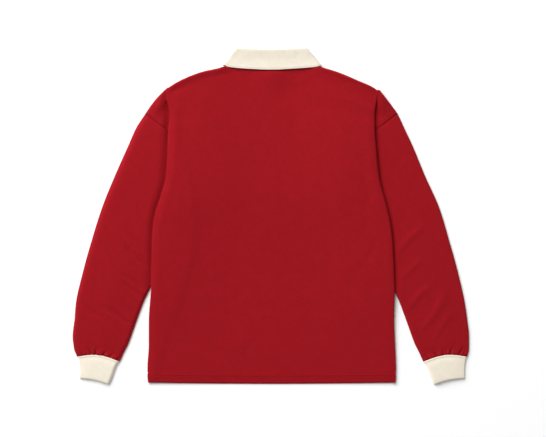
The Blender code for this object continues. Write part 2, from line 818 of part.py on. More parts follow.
def make_button(number, y, material, collection, cutters):
    """A button with four holes, its face to the surface."""
    name = f"button_{number}"
    bm = bmesh.new()
    verts = [bm.verts.new((x * MM, 0, z * MM)) for x, z in button_profile()]
    for start, end in zip(verts, verts[1:]):
        bm.edges.new((start, end))
    button = finished(name, bm, material, collection)
    turned = button.modifiers.new("turned", "SCREW")
    turned.steps = turned.render_steps = 14
    turned.use_merge_vertices = True
    turned.merge_threshold = 0.00001
    button.rotation_euler.x = math.pi
    button.location = (-MIDDLE_X * MM, (y - MIDDLE_Y) * MM, BUTTON_THICKNESS / 2 * MM)
    holes = bmesh.new()
    for corner in range(4):
        angle = math.radians(45 + 90 * corner)
        made = bmesh.ops.create_cone(
            holes, cap_ends=True, segments=6, depth=3 * BUTTON_THICKNESS * MM,
            radius1=BUTTON_HOLE_RADIUS * MM, radius2=BUTTON_HOLE_RADIUS * MM,
        )
        ring = BUTTON_HOLE_RING * MM
        bmesh.ops.translate(
            holes, verts=made["verts"], vec=(ring * math.cos(angle), ring * math.sin(angle), 0)
        )
    cutter = finished(name + "_holes", holes, material, cutters)
    cutter.location = button.location
    cutter.hide_render = True
    cutter.display_type = "WIRE"
    cut = button.modifiers.new("holes", "BOOLEAN")
    cut.operation = "DIFFERENCE"
    cut.object = cutter
    return button


def plain_material(name, colour, roughness, sheen=0.0):
    """A material whose colour is given as it looks, from 0 to 255."""
    material = bpy.data.materials.new(name)
    material.use_nodes = True
    shader = material.node_tree.nodes["Principled BSDF"]
    linear = [(value / 255) ** 2.2 for value in colour]
    shader.inputs["Base Color"].default_value = (*linear, 1)
    shader.inputs["Roughness"].default_value = roughness
    shader.inputs["Metallic"].default_value = 0.0
    shader.inputs["Sheen Weight"].default_value = sheen
    return material


def new_collection(name):
    collection = bpy.data.collections.new(name)
    bpy.context.scene.collection.children.link(collection)
    return collection


def main():
    for item in list(bpy.data.objects):
        bpy.data.objects.remove(item, do_unlink=True)
    shirt = new_collection(SHIRT)
    cutters = new_collection("cutters")
    red, cream = (158, 24, 34), (240, 231, 213)
    make_back(plain_material("back_jersey", red, 0.9, 0.2), shirt)
    make_front(plain_material("front_jersey", red, 0.9, 0.2), shirt)
    for side in ("left", "right"):
        make_sleeve(side, plain_material(f"sleeve_{side}_jersey", red, 0.9, 0.2), shirt)
        make_cuff(side, plain_material(f"cuff_{side}_rib", cream, 0.92, 0.2), shirt)
    make_collar(plain_material("collar_rib", cream, 0.92, 0.2), shirt)
    make_placket(
        "placket_over", PLACKET_WIDTH - 2 * SEAM_GAP, PLACKET_OVER_TOP, PLACKET_BOTTOM + 1.0, PLACKET_OVER_Z,
        plain_material("placket_over_jersey", red, 0.9, 0.2), shirt,
    )
    make_placket(
        "placket_under", PLACKET_WIDTH + PLACKET_UNDER_EXTRA, PLACKET_UNDER_TOP, PLACKET_BOTTOM - 3.0,
        PLACKET_UNDER_Z,
        plain_material("placket_under_jersey", red, 0.9, 0.2), shirt,
    )
    for number, y in enumerate(BUTTON_YS, 1):
        make_button(number, y, plain_material(f"button_{number}_horn", (232, 222, 204), 0.35), shirt, cutters)


main()
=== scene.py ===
# %% [markdown]
# A knit polo shirt, laid flat with its back up
# The real shirt is heavy cotton jersey: a back, a front and two sleeves, sewn into a body that is wider
# than its own front, with cuffs and a one-piece collar of knitted rib. Laid on a table it is a stack of
# soft layers. This lesson dresses the shirt's fixed frame: each layer becomes a thin shell of cloth,
# shaped from the same sizes as the frame's solids but with far more points, so that small creases, ribs
# and seams have a real form.

# %% Load the fixed frame
import math
from collections import namedtuple

import bmesh
import bpy
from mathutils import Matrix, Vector


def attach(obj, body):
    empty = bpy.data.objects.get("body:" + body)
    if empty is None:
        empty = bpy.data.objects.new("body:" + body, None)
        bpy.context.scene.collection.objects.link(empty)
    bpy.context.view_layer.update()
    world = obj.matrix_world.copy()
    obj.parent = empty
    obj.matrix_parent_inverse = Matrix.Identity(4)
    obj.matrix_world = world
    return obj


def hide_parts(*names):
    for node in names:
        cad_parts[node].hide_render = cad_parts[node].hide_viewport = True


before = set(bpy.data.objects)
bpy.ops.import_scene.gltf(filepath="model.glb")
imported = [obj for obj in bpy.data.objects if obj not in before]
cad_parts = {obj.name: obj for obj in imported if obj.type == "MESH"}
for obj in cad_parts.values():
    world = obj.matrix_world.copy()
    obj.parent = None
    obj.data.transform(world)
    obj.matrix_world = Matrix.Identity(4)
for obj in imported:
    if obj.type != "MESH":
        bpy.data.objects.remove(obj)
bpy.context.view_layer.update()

MM = 0.001
print("frame nodes:", ", ".join(sorted(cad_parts)))

# %% [markdown]
# The camera looks straight down, as the photograph does. A long lens from far above keeps the cloth's
# edges upright: the picture is 546 pixels wide and shows 1.234 m of the table, so the lens follows from
# the distance.

# %% Camera
PICTURE_WIDTH = 1.234
PICTURE_CENTRE = (0.0049, -0.0052)
CAMERA_HEIGHT = 3.4
SENSOR_WIDTH = 36.0

camera_data = bpy.data.cameras.new("camera")
camera_data.sensor_width = SENSOR_WIDTH
camera_data.lens = SENSOR_WIDTH * CAMERA_HEIGHT / PICTURE_WIDTH
camera = bpy.data.objects.new("camera", camera_data)
camera.location = (*PICTURE_CENTRE, CAMERA_HEIGHT)
bpy.context.scene.collection.objects.link(camera)
bpy.context.scene.camera = camera
print("lens in mm:", round(camera_data.lens, 1))

# %% [markdown]
# The light comes low from the upper left and is very soft. A sun with a wide angle is such a source: it
# lights the whole table evenly, so the ground stays white to its edges, and it leaves long soft shadows
# at the lower right of each layer. A large window above adds the light that slowly falls off towards the
# lower right, and a pale room fills the rest.

# %% Light
SUN_STRENGTH = 2.45
SUN_WIDTH = 62.0
SUN_FROM = Vector((-0.61, 0.61, 0.43))
ROOM_STRENGTH = 0.36
WINDOW_POWER = 75.0
WINDOW_SIZE = 2.2
WINDOW_PLACE = Vector((-1.2, 2.05, 2.0))

sun_data = bpy.data.lights.new("soft sun", "SUN")
sun_data.energy = SUN_STRENGTH
sun_data.angle = math.radians(SUN_WIDTH)
sun = bpy.data.objects.new("soft sun", sun_data)
sun.rotation_euler = SUN_FROM.to_track_quat("Z", "Y").to_euler()
bpy.context.scene.collection.objects.link(sun)

window_data = bpy.data.lights.new("window", "AREA")
window_data.energy = WINDOW_POWER
window_data.size = WINDOW_SIZE
window = bpy.data.objects.new("window", window_data)
window.location = WINDOW_PLACE
window.rotation_euler = WINDOW_PLACE.to_track_quat("Z", "Y").to_euler()
bpy.context.scene.collection.objects.link(window)

room = bpy.data.worlds.new("pale room")
room.use_nodes = True
room.node_tree.nodes["Background"].inputs["Color"].default_value = (1.0, 1.0, 1.0, 1.0)
room.node_tree.nodes["Background"].inputs["Strength"].default_value = ROOM_STRENGTH
bpy.context.scene.world = room
bpy.context.scene.view_settings.view_transform = "Standard"
print("sun from", [round(value, 2) for value in SUN_FROM.normalized()])

# %% [markdown]
# The table is plain and nearly white. It isn't part of the shirt.

# %% Table
TABLE_SIZE = 12.0
TABLE_DROP = 0.0003
TABLE_ROUGHNESS = 0.95
TABLE_SPECULAR = 0.1

bpy.ops.object.select_all(action="DESELECT")
bpy.ops.mesh.primitive_plane_add(size=TABLE_SIZE, location=(0, 0, -TABLE_DROP))
table = bpy.context.object
table.name = "table"
table_paint = bpy.data.materials.new("table_paint")
table_paint.use_nodes = True
table_shader = table_paint.node_tree.nodes["Principled BSDF"]
table_shader.inputs["Base Color"].default_value = (1.0, 1.0, 1.0, 1.0)
table_shader.inputs["Roughness"].default_value = TABLE_ROUGHNESS
table_shader.inputs["Specular IOR Level"].default_value = TABLE_SPECULAR
table.data.materials.append(table_paint)
print("table", TABLE_SIZE, "m wide")

# %% [markdown]
# The finishes share three effects, each a node group: the loops of plain knitting, the fine grain of rib,
# and the uneven tone of dyed cotton. All read the piece's own UV map, which is laid out in metres of
# cloth, so the loops have one size everywhere and run down each piece as they do in the cut panel.

# %% Node helpers
def new_group(name, inputs, outputs):
    """A shader node group with float inputs, a vector called Cloth, and float outputs."""
    group = bpy.data.node_groups.new(name, "ShaderNodeTree")
    group.interface.new_socket(name="Cloth", in_out="INPUT", socket_type="NodeSocketVector")
    for label, value in inputs.items():
        socket = group.interface.new_socket(name=label, in_out="INPUT", socket_type="NodeSocketFloat")
        socket.default_value = value
    for label in outputs:
        group.interface.new_socket(name=label, in_out="OUTPUT", socket_type="NodeSocketFloat")
    return group, group.nodes.new("NodeGroupInput"), group.nodes.new("NodeGroupOutput")


def maths(tree, operation, first, second=None):
    """One Math node. A value is a number or another node's socket."""
    node = tree.nodes.new("ShaderNodeMath")
    node.operation = operation
    for socket, value in zip(node.inputs, (first, second)):
        if isinstance(value, bpy.types.NodeSocket):
            tree.links.new(value, socket)
        elif value is not None:
            socket.default_value = value
    return node.outputs[0]


def noise(tree, place, scale, detail):
    """A Noise node's value at a place."""
    node = tree.nodes.new("ShaderNodeTexNoise")
    tree.links.new(place, node.inputs["Vector"])
    node.inputs["Scale"].default_value = scale
    node.inputs["Detail"].default_value = detail
    return node.outputs["Fac"]


def off_middle(tree, value):
    """How far a value is from the middle of its whole step, from 0 to 0.5."""
    return maths(tree, "ABSOLUTE", maths(tree, "SUBTRACT", maths(tree, "FRACT", value), 0.5))


def steps_of_cloth(tree, given, slant):
    """How far a place is from the middle of its wale, and of its course, which slants away from there."""
    apart = tree.nodes.new("ShaderNodeSeparateXYZ")
    tree.links.new(given.outputs["Cloth"], apart.inputs[0])
    off_wale = off_middle(tree, maths(tree, "MULTIPLY", apart.outputs["X"], given.outputs["Wales"]))
    along = maths(tree, "MULTIPLY", apart.outputs["Y"], given.outputs["Courses"])
    slanted = maths(tree, "ADD", along, maths(tree, "MULTIPLY", off_wale, -slant))
    return off_wale, off_middle(tree, slanted)


def rounded_off(tree, off, power):
    """1 in the middle of a step, falling to 0 at its ends."""
    return maths(tree, "SUBTRACT", 1.0, maths(tree, "POWER", maths(tree, "MULTIPLY", off, 2.0), power))


print("node helpers ready")

# %% Knit loops
LOOP_SLANT = 1.3
LOOP_ROUNDNESS = 2.0
LEG_PLACE = 0.25
LEG_SHARPNESS = 3.2


def knit_loops_group():
    """Plain knitting: columns of V-shaped loops. Height is 1 on a loop's legs and 0 between them; the other
    output marks the gaps between them, where shade is painted.
    """
    tree, given, out = new_group("knit loops", {"Wales": 750.0, "Courses": 1000.0}, ("Height", "Gap shade"))
    off_wale, off_course = steps_of_cloth(tree, given, LOOP_SLANT)
    leg = rounded_off(tree, off_course, LOOP_ROUNDNESS)
    from_leg = maths(tree, "ABSOLUTE", maths(tree, "SUBTRACT", off_wale, LEG_PLACE))
    side = maths(tree, "SUBTRACT", 1.0, maths(tree, "MULTIPLY", from_leg, LEG_SHARPNESS))
    height = maths(tree, "MULTIPLY", leg, side)
    tree.links.new(height, out.inputs["Height"])
    tree.links.new(maths(tree, "SUBTRACT", 1.0, height), out.inputs["Gap shade"])
    return tree


KNIT_LOOPS = knit_loops_group()
print("group:", KNIT_LOOPS.name)

# %% Rib wales
RIB_SLANT = 1.1
WALE_ROUNDNESS = 3.0
RIB_COURSE_DIP = 0.5


def rib_wales_group():
    """Rib: rounded wales that stand between narrow furrows. Height is 1 on a wale and 0 in a furrow; the
    other output marks the furrows, where shade is painted.
    """
    tree, given, out = new_group("rib wales", {"Wales": 400.0, "Courses": 900.0}, ("Height", "Furrow shade"))
    off_wale, off_course = steps_of_cloth(tree, given, RIB_SLANT)
    wale = rounded_off(tree, off_wale, WALE_ROUNDNESS)
    loop = maths(tree, "SUBTRACT", 1.0, maths(tree, "MULTIPLY", off_course, RIB_COURSE_DIP))
    tree.links.new(maths(tree, "MULTIPLY", wale, loop), out.inputs["Height"])
    tree.links.new(maths(tree, "SUBTRACT", 1.0, wale), out.inputs["Furrow shade"])
    return tree


RIB_WALES = rib_wales_group()
print("group:", RIB_WALES.name)

# %% Cotton tone
PATCHES = ((120.0, 3.0), (38.0, 2.0))
STREAKS = (300.0, 3.0)
STREAK_STRETCH = (0.3, 1.5, 1.0)
FUZZ = (1600.0, 4.0)


def cotton_tone_group():
    """Uneven cotton: soft patches, fine streaks along the courses and a fuzz of fibre."""
    tree, given, out = new_group("cotton tone", {"Patches": 0.6, "Streaks": 0.5}, ("Tone", "Fuzz"))
    cloth_place = given.outputs["Cloth"]
    stretched = tree.nodes.new("ShaderNodeMapping")
    stretched.inputs["Scale"].default_value = STREAK_STRETCH
    tree.links.new(cloth_place, stretched.inputs["Vector"])
    patches = maths(tree, "ADD", *[noise(tree, cloth_place, *sizes) for sizes in PATCHES])
    streaks = noise(tree, stretched.outputs[0], *STREAKS)
    tone = maths(tree, "MULTIPLY", maths(tree, "SUBTRACT", patches, 1.0), given.outputs["Patches"])
    streaked = maths(tree, "MULTIPLY", maths(tree, "SUBTRACT", streaks, 0.5), given.outputs["Streaks"])
    tree.links.new(maths(tree, "ADD", 0.5, maths(tree, "ADD", tone, streaked)), out.inputs["Tone"])
    tree.links.new(noise(tree, cloth_place, *FUZZ), out.inputs["Fuzz"])
    return tree


COTTON_TONE = cotton_tone_group()
print("group:", COTTON_TONE.name)

# %% [markdown]
# A cloth material mixes two close shades by the cotton's tone, paints a little shade into the gaps
# between loops and the furrows of rib, and raises the loops and the fuzz with one bump. Its sheen is the
# faint glow of loose fibres at a grazing angle.

# %% Cloth materials
DISPLAY_GAMMA = 2.2
RELIEF_DEPTH = 0.12
FUZZ_SHARE = 0.5
COTTON_ROUGHNESS = 0.92
COTTON_SPECULAR = 0.2
SHEEN = 0.1
SHEEN_ROUGHNESS = 0.6


def shade(colour):
    """A colour as it looks, from 0 to 255, as the linear values that a shader takes."""
    return tuple((value / 255) ** DISPLAY_GAMMA for value in colour)


def colour_mix(tree, factor, dark, light):
    """A Mix node between two colours. Each is a colour or another node's socket."""
    node = tree.nodes.new("ShaderNodeMix")
    node.data_type = "RGBA"
    tree.links.new(factor, node.inputs["Factor"])
    for socket, colour in zip((node.inputs[6], node.inputs[7]), (dark, light)):
        if isinstance(colour, bpy.types.NodeSocket):
            tree.links.new(colour, socket)
        else:
            socket.default_value = (*shade(colour), 1.0)
    return node.outputs[2]


def placed(tree, group, place, values):
    """A node group in a material, with its own values."""
    node = tree.nodes.new("ShaderNodeGroup")
    node.node_tree = group
    tree.links.new(place, node.inputs["Cloth"])
    for label, value in values.items():
        node.inputs[label].default_value = value
    return node


def cloth_material(name, group, loops, tones, dark, light, gap_shade_colour, gap_shade_share):
    """Knitted cotton: loops and tones are the values of its two node groups."""
    material = bpy.data.materials.new(name)
    material.use_nodes = True
    tree = material.node_tree
    shader = tree.nodes["Principled BSDF"]
    place = tree.nodes.new("ShaderNodeUVMap")
    place.uv_map = "cloth"
    knit = placed(tree, group, place.outputs["UV"], loops)
    tone = placed(tree, COTTON_TONE, place.outputs["UV"], tones)
    plain = colour_mix(tree, tone.outputs["Tone"], dark, light)
    # Painted shade: the gaps between loops and the rib's furrows are mixed towards a darker colour.
    gap = maths(tree, "MULTIPLY", knit.outputs[1], gap_shade_share)
    tree.links.new(colour_mix(tree, gap, plain, gap_shade_colour), shader.inputs["Base Color"])
    fuzz = maths(tree, "MULTIPLY", tone.outputs["Fuzz"], FUZZ_SHARE)
    relief = maths(tree, "ADD", knit.outputs["Height"], fuzz)
    bump = tree.nodes.new("ShaderNodeBump")
    bump.inputs["Distance"].default_value = RELIEF_DEPTH * MM
    tree.links.new(relief, bump.inputs["Height"])
    tree.links.new(bump.outputs["Normal"], shader.inputs["Normal"])
    shader.inputs["Roughness"].default_value = COTTON_ROUGHNESS
    shader.inputs["Specular IOR Level"].default_value = COTTON_SPECULAR
    shader.inputs["Sheen Weight"].default_value = SHEEN
    shader.inputs["Sheen Roughness"].default_value = SHEEN_ROUGHNESS
    shader.inputs["Sheen Tint"].default_value = (*shade(light), 1.0)
    return material


# In each material the third colour is painted shade for the gaps and furrows, and the number after it is how
# much of it shows.
RIB_LOOKS = RIB_WALES, {"Wales": 400.0, "Courses": 800.0}, {"Patches": 0.9, "Streaks": 0.2}
RED_JERSEY = cloth_material(
    "red_jersey", KNIT_LOOPS, {"Wales": 1000.0, "Courses": 1300.0}, {"Patches": 0.9, "Streaks": 1.4},
    (147, 13, 26), (162, 17, 30), (95, 8, 16), 0.25,
)
# Collar and cuffs are one cream rib in two painted copies: the cuffs' shades are painted lighter than the
# collar's, as painted light that makes up for the room's light falling off away from the collar.
COLLAR_RIB = cloth_material(
    "collar_rib", *RIB_LOOKS, (213, 204, 186), (225, 216, 202), (197, 181, 154), 0.22
)
CUFF_RIB_PAINTED_LIGHTER = cloth_material(
    "cuff_rib", *RIB_LOOKS, (232, 222, 203), (242, 234, 218), (205, 186, 157), 0.22
)
print("materials:", RED_JERSEY.name, COLLAR_RIB.name, CUFF_RIB_PAINTED_LIGHTER.name)

# %% [markdown]
# The cloths' thicknesses, the room between layers and the sizes of the whole garment are those that the
# frame is built with, in millimetres. A plan measure x runs out from the middle of the shirt, and y up to
# the collar.

# %% Sizes of the garment
JERSEY = 1.6
RIB = 2.2
PLACKET_CLOTH = 1.4
SEAM_GAP = 0.6
SEWN_GAP = 0.04
LAYER_GAP = 0.4
CUFF_GAP = 0.5
MIDDLE_X = -1.5
MIDDLE_Y = -0.9
HEM_Y = -376.0
HEM_CURVE = 3.0
NECK_HALF = 105.0
SHOULDER_Y = 288.0
CROSSING_Y = 190.0
BODY_ROLL = 1.8
UNDER_ROLL = 1.0
SLEEVE_ROLL = 1.3
FRONT_Z = JERSEY / 2
SLEEVE_TOP_Z = FRONT_Z + 2 * SLEEVE_ROLL
OVER_SLEEVE_Z = SLEEVE_TOP_Z + 2 * UNDER_ROLL
BACK_Z = 2.9
SIDE_RETURN_Z = 2.7
STUB = 2.0
PLACKET_WIDTH = 34.0
PLACKET_BOTTOM = 92.0
BUTTON_RADIUS = 5.75
BUTTON_THICKNESS = 2.3
BUTTON_YS = (246.0, 186.0, 126.0)
FRONT_LIFT = 2.5
BACK_LIFT = 4.3
LIFT_REACH = 130.0
BACK_LIFT_REACH = 230.0
LIFT_HALF = 48.0
LIFT_BOTTOM = 82.0
COLLAR_POINT_Y = 222.0
PLEAT_END_Y = 118.0
SLOPE_END_Y = 110.0
SHOULDER_ROLL_Y = 280.0
HEM_CURVE_Y = -240.0
HEM_HALF = 281.0
FLAT_PAST_RETURN = 6.0
EDGE_RUN_OUT = 190.0
FOLD_FADE_EDGE = 20.0
FOLD_FADE_MIDDLE = 40.0
NECK_FADE = 18.0
NECKLINE_TOP = 336.0
NECKLINE_DEPTH = 73.0
FRONT_INSET = 1.0
print("body", 2 * HEM_HALF, "mm wide and", SHOULDER_Y - HEM_Y, "mm from shoulder to hem")

# %% [markdown]
# Every outline is a smooth line through a few measured places. The curve never overshoots between two of
# them, which keeps a fold from bulging through its neighbour.

# %% Lines and blends
SIDES = ("left", "right")
SIGNS = {"left": -1, "right": 1}
Line = namedtuple("Line", "y left right")
Place = namedtuple("Place", "x y")
Pleat = namedtuple("Pleat", "y under_turn second_turn return_length return_height")
Crease = namedtuple("Crease", "x0 y0 x1 y1 width depth bow", defaults=(0.0,))


def rows_of(kind, *rows):
    """A table whose rows are all of one kind."""
    return tuple(kind(*row) for row in rows)


def line_through(points):
    """A smooth line through (place, value) points."""
    points = sorted(points)
    places = [place for place, _ in points]
    values = [value for _, value in points]
    slopes = [(values[i + 1] - values[i]) / (places[i + 1] - places[i]) for i in range(len(points) - 1)]
    tangents = [slopes[0]]
    for before, after in zip(slopes, slopes[1:]):
        tangents.append(0.0 if before * after <= 0 else 2 * before * after / (before + after))
    tangents.append(slopes[-1])

    def at(place):
        place = min(max(place, places[0]), places[-1])
        i = max(k for k in range(len(slopes)) if places[k] <= place)
        run = places[i + 1] - places[i]
        t = (place - places[i]) / run
        rise = values[i + 1] - values[i]
        bend = tangents[i] * run * t * (1 - t) ** 2 - tangents[i + 1] * run * t * t * (1 - t)
        return values[i] + rise * t * t * (3 - 2 * t) + bend

    return at


def smooth_step(value):
    """0 up to 0 and 1 from 1 on, with a soft rise between them."""
    value = min(max(value, 0.0), 1.0)
    return value * value * (3 - 2 * value)


def lerp(start, end, share):
    return start + (end - start) * share


def blend(start, end, share):
    return Place(lerp(start.x, end.x, share), lerp(start.y, end.y, share))


def table_line(table, column):
    return line_through([(row.y, getattr(row, column)) for row in table])


def runs_along(points, scale=1.0):
    """How far each point lies along the line through all of them."""
    runs = [0.0]
    for before, after in zip(points, points[1:]):
        runs.append(runs[-1] + math.dist(before, after) * scale)
    return runs


def with_places(points, v, scale=1.0):
    """Points with their places on the cloth, measured along them."""
    return [(*point, run, v) for point, run in zip(points, runs_along(points, scale))]


def track_through(places):
    """A curve in plan through places, for a share from 0 to 1 of its length."""
    lengths = runs_along(places)
    x_line = line_through([(s / lengths[-1], p.x) for s, p in zip(lengths, places)])
    y_line = line_through([(s / lengths[-1], p.y) for s, p in zip(lengths, places)])
    return lambda share: Place(x_line(share), y_line(share))


def finer(values, most):
    """The same values with more between them, none further apart than most."""
    out = [values[0]]
    for before, after in zip(values, values[1:]):
        steps = max(1, math.ceil(abs(after - before) / most - 1e-6))
        out += [lerp(before, after, i / steps) for i in range(1, steps + 1)]
    return out


def bell(value, width):
    """1 at 0, falling softly to nothing at about twice the width."""
    return math.exp(-((value / width) ** 2))


print("six places between 0 and 5:", finer((0, 5), 1))

# %% [markdown]
# A sheet of cloth is a grid of points in rows, each with its place on the cloth in millimetres. The
# points become a mesh with a UV map in metres. A relief function then moves each point along its normal,
# for seams, hems and ribs, and a Solidify modifier gives the cloth its thickness.

# %% Cloth from rows of points
WELD_REACH = 1e-6


def cloth(name, rows, wall, material, closed=False, relief=None, shaped=None):
    """A shell of cloth on rows of points (x, y, z, u, v). A closed one is a tube."""
    columns = len(rows[0])
    flat = [point for row in rows for point in row]
    mesh = bpy.data.meshes.new(name)
    mesh.from_pydata(
        [((x - MIDDLE_X) * MM, (y - MIDDLE_Y) * MM, z * MM) for x, y, z, _, _ in flat],
        [],
        [
            (r * columns + c, (r + 1) * columns + c, (r + 1) * columns + c + 1, r * columns + c + 1)
            for r in range(len(rows) - 1)
            for c in range(columns - 1)
        ],
    )
    layer = mesh.uv_layers.new(name="cloth")
    for loop in mesh.loops:
        layer.data[loop.index].uv = (flat[loop.vertex_index][3] * MM, flat[loop.vertex_index][4] * MM)
    bm = bmesh.new()
    bm.from_mesh(mesh)
    if closed:
        bmesh.ops.remove_doubles(bm, verts=bm.verts, dist=WELD_REACH)
        bmesh.ops.recalc_face_normals(bm, faces=bm.faces)
    if relief:
        bm.normal_update()
        uv = bm.loops.layers.uv["cloth"]
        moves = []
        for vert in bm.verts:
            place = vert.link_loops[0][uv].uv
            moves.append(vert.normal * relief(place.x / MM, place.y / MM) * MM)
        for vert, move in zip(bm.verts, moves):
            vert.co += move
            vert.co.z = max(vert.co.z, wall / 2 * MM)
    bm.to_mesh(mesh)
    bm.free()
    mesh.shade_smooth()
    mesh.materials.append(material)
    piece = bpy.data.objects.new(name, mesh)
    bpy.context.scene.collection.objects.link(piece)
    if shaped:
        shaped(piece)
    return with_wall(piece, wall)


def take(piece, others=()):
    """Makes a piece the active one, selected with the others only."""
    bpy.ops.object.select_all(action="DESELECT")
    for other in (piece, *others):
        other.select_set(True)
    bpy.context.view_layer.objects.active = piece


def with_wall(piece, wall):
    """Gives a sheet its thickness, half to each side, and makes it final."""
    thickness = piece.modifiers.new("cloth", "SOLIDIFY")
    thickness.thickness = wall * MM
    thickness.offset = 0.0
    take(piece)
    bpy.ops.object.modifier_apply(modifier="cloth")
    return piece


def worn(piece, nodes):
    """Attaches a finished piece of cloth to the root and hides the frame's nodes that it stands for."""
    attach(piece, "root")
    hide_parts(*nodes)
    print(piece.name, "has", len(piece.data.polygons), "faces")


print("cloth maker ready")

# %% [markdown]
# The outline of the garment and the edge of its folded body, from the photograph. The body is wider than
# its front, so at each side the back turns over a soft fold, goes back under itself and meets the
# sleeve's seam.

# %% Outline and folds
OUTLINE = rows_of(Line,
    (337, 108, 110), (325, 159, 150), (307, 204, 193), (289, 234, 232),
    (271, 256.5, 250), (253, 273, 265), (231, 285, 284), (198, 306, 300),
    (162, 322, 317), (90, 354, 347), (18, 383, 379), (-55, 406, 401),
    (-127, 426, 421), (-199, 442, 437), (-235, 445, 442), (-272, 449, 446),
    (-300, 446, 446), (-318, 439, 442),
)
BODY_EDGE = rows_of(Line,
    (288, 235.5, 240), (262, 237.5, 238), (228, 231, 234), (190, 234, 235),
    (137, 236, 239), (90, 239, 244), (47, 250, 254), (6, 263, 265),
    (-32, 269, 272), (-80, 271, 276), (-168, 273, 279), (-235, 277, 277),
    (-290, 277, 279), (-344, 280, 281), (-376, 280, 281),
)
ARMHOLE = rows_of(Place,
    (284.5, 230.0), (259.5, 210.5), (234.5, 190.0), (223.0, 160.0),
    (216.0, 126.0), (218.0, 85.0), (235.0, 25.0), (263.0, -50.0),
)
SLEEVE_INNER = rows_of(Place,
    (263.0, -50.0), (262.0, -104.0), (265.5, -141.0), (275.5, -166.0),
    (287.0, -190.0), (304.0, -235.0), (324.0, -290.0), (333.0, -308.0),
    (342.5, -329.0),
)
FRONT_SIDE = rows_of(Place,
    (262.0, -50.0), (259.0, -104.0), (261.5, -141.0), (269.0, -163.0),
    (274.0, -190.0), (275.0, -235.0), (278.5, -376.0),
)
PLEATS = rows_of(Pleat,
    (288, 0, 0, 0.0, OVER_SLEEVE_Z), (272, 22, 22, 0.6, OVER_SLEEVE_Z),
    (259, 70, 70, 1.0, OVER_SLEEVE_Z), (246, 135, 135, 3.0, OVER_SLEEVE_Z),
    (232, 172, 172, 9.0, OVER_SLEEVE_Z), (214, 180, 180, 15.0, OVER_SLEEVE_Z),
    (190, 180, 180, 20.0, OVER_SLEEVE_Z),
    (160, 180, 180, 21.5, OVER_SLEEVE_Z), (118, 180, 180, 20.0, OVER_SLEEVE_Z),
    (98, 180, 80, 20.5, OVER_SLEEVE_Z), (80, 180, 0, 21.0, OVER_SLEEVE_Z),
    (25, 180, 0, 24.0, OVER_SLEEVE_Z), (-50, 180, 0, 11.0, OVER_SLEEVE_Z),
    (-168, 180, 0, 8.0, OVER_SLEEVE_Z), (-205, 180, 0, 4.0, OVER_SLEEVE_Z - 0.5),
    (-300, 180, 0, 4.0, SIDE_RETURN_Z + 0.3), (-376, 180, 0, 4.0, SIDE_RETURN_Z),
)
TOP_INSET = 0.7
EDGE_INSET = 1.2
EDGE_INSET_START = -300.0
EDGE_INSET_FADE = 200.0
CAP_BULGE = {"left": 3.0, "right": 0.4}
SHOULDERS = {
    side: line_through(
        [(0, 332.6), (60, 333.3), (99, 335.4), (105, 336.9)]
        + [(getattr(row, side), row.y - JERSEY / 2 - TOP_INSET) for row in OUTLINE[:5]]
    )
    for side in SIDES
}
EDGES = {side: table_line(BODY_EDGE, side) for side in SIDES}
OUTER = {side: table_line(OUTLINE, side) for side in SIDES}
INNER_EDGE = table_line(SLEEVE_INNER, "x")
FRONT_SIDE_EDGE = table_line(FRONT_SIDE, "x")
ARMHOLE_X = table_line(ARMHOLE, "x")
PLEAT = {column: table_line(PLEATS, column) for column in Pleat._fields[1:]}

armhole_lengths = runs_along(ARMHOLE)
ARMHOLE_Y = line_through([(s / armhole_lengths[-1], p.y) for s, p in zip(armhole_lengths, ARMHOLE)])
print("armhole seam", round(armhole_lengths[-1]), "mm long on each layer")

# %% [markdown]
# Heights. The collar's points and the placket lie under the chest and lift the layers over them a little.
# The creases are placed one by one: a soft trough between two low ridges, or a long low ridge where cloth
# relaxes.

# %% Heights and creases
CREASE_OVERRUN = 0.2
CREASE_FADE = 0.5
CREASE_REACH = 3.0
CREASE_RIDGES = 1.2
SHORTEST_CAP = 1.0


def crease_relief(creases, x, y):
    """Height that creases add at a place. A bow bends one sideways, and a negative depth makes it a ridge."""
    total = 0.0
    for crease in creases:
        run_x, run_y = crease.x1 - crease.x0, crease.y1 - crease.y0
        length = math.hypot(run_x, run_y)
        share = ((x - crease.x0) * run_x + (y - crease.y0) * run_y) / length**2
        if not -CREASE_OVERRUN < share < 1 + CREASE_OVERRUN:
            continue
        off = ((x - crease.x0) * run_y - (y - crease.y0) * run_x) / length
        off = (off - crease.bow * 4 * share * (1 - share)) / crease.width
        if abs(off) > CREASE_REACH:
            continue
        shape = math.exp(-off * off) * smooth_step((share + CREASE_OVERRUN) / CREASE_FADE)
        shape *= smooth_step((1 + CREASE_OVERRUN - share) / CREASE_FADE)
        if crease.depth > 0:
            shape *= 1 - CREASE_RIDGES * off * off
        total -= crease.depth * shape
    return total


def settled(distance, reach):
    """How far cloth has come up to its full height at a distance from where it is held down."""
    return 1 - math.exp(-max(distance, 0.0) / reach)


def lifted(x, y, reach):
    """Share of the lift that the collar's points and the placket give the cloth over them."""
    x = abs(x)
    past_collar = math.hypot(max(x - NECK_HALF, 0.0), max(COLLAR_POINT_Y - y, 0.0))
    past_placket = math.hypot(max(x - LIFT_HALF, 0.0), max(LIFT_BOTTOM - y, 0.0))
    return 1 - smooth_step(past_collar / reach) * smooth_step(past_placket / reach)


def front_height(x, y):
    """Height of the front's middle over the table."""
    return FRONT_Z + FRONT_LIFT * lifted(x, y, LIFT_REACH)


def back_height(x, y):
    """Height of the back's middle over the table, away from its folded edges."""
    return BACK_Z + BACK_LIFT * lifted(x, y, BACK_LIFT_REACH)


def slope_share(row_y):
    """How far a row still follows the slope of the shoulders."""
    return smooth_step((row_y - SLOPE_END_Y) / (SHOULDER_Y - SLOPE_END_Y))


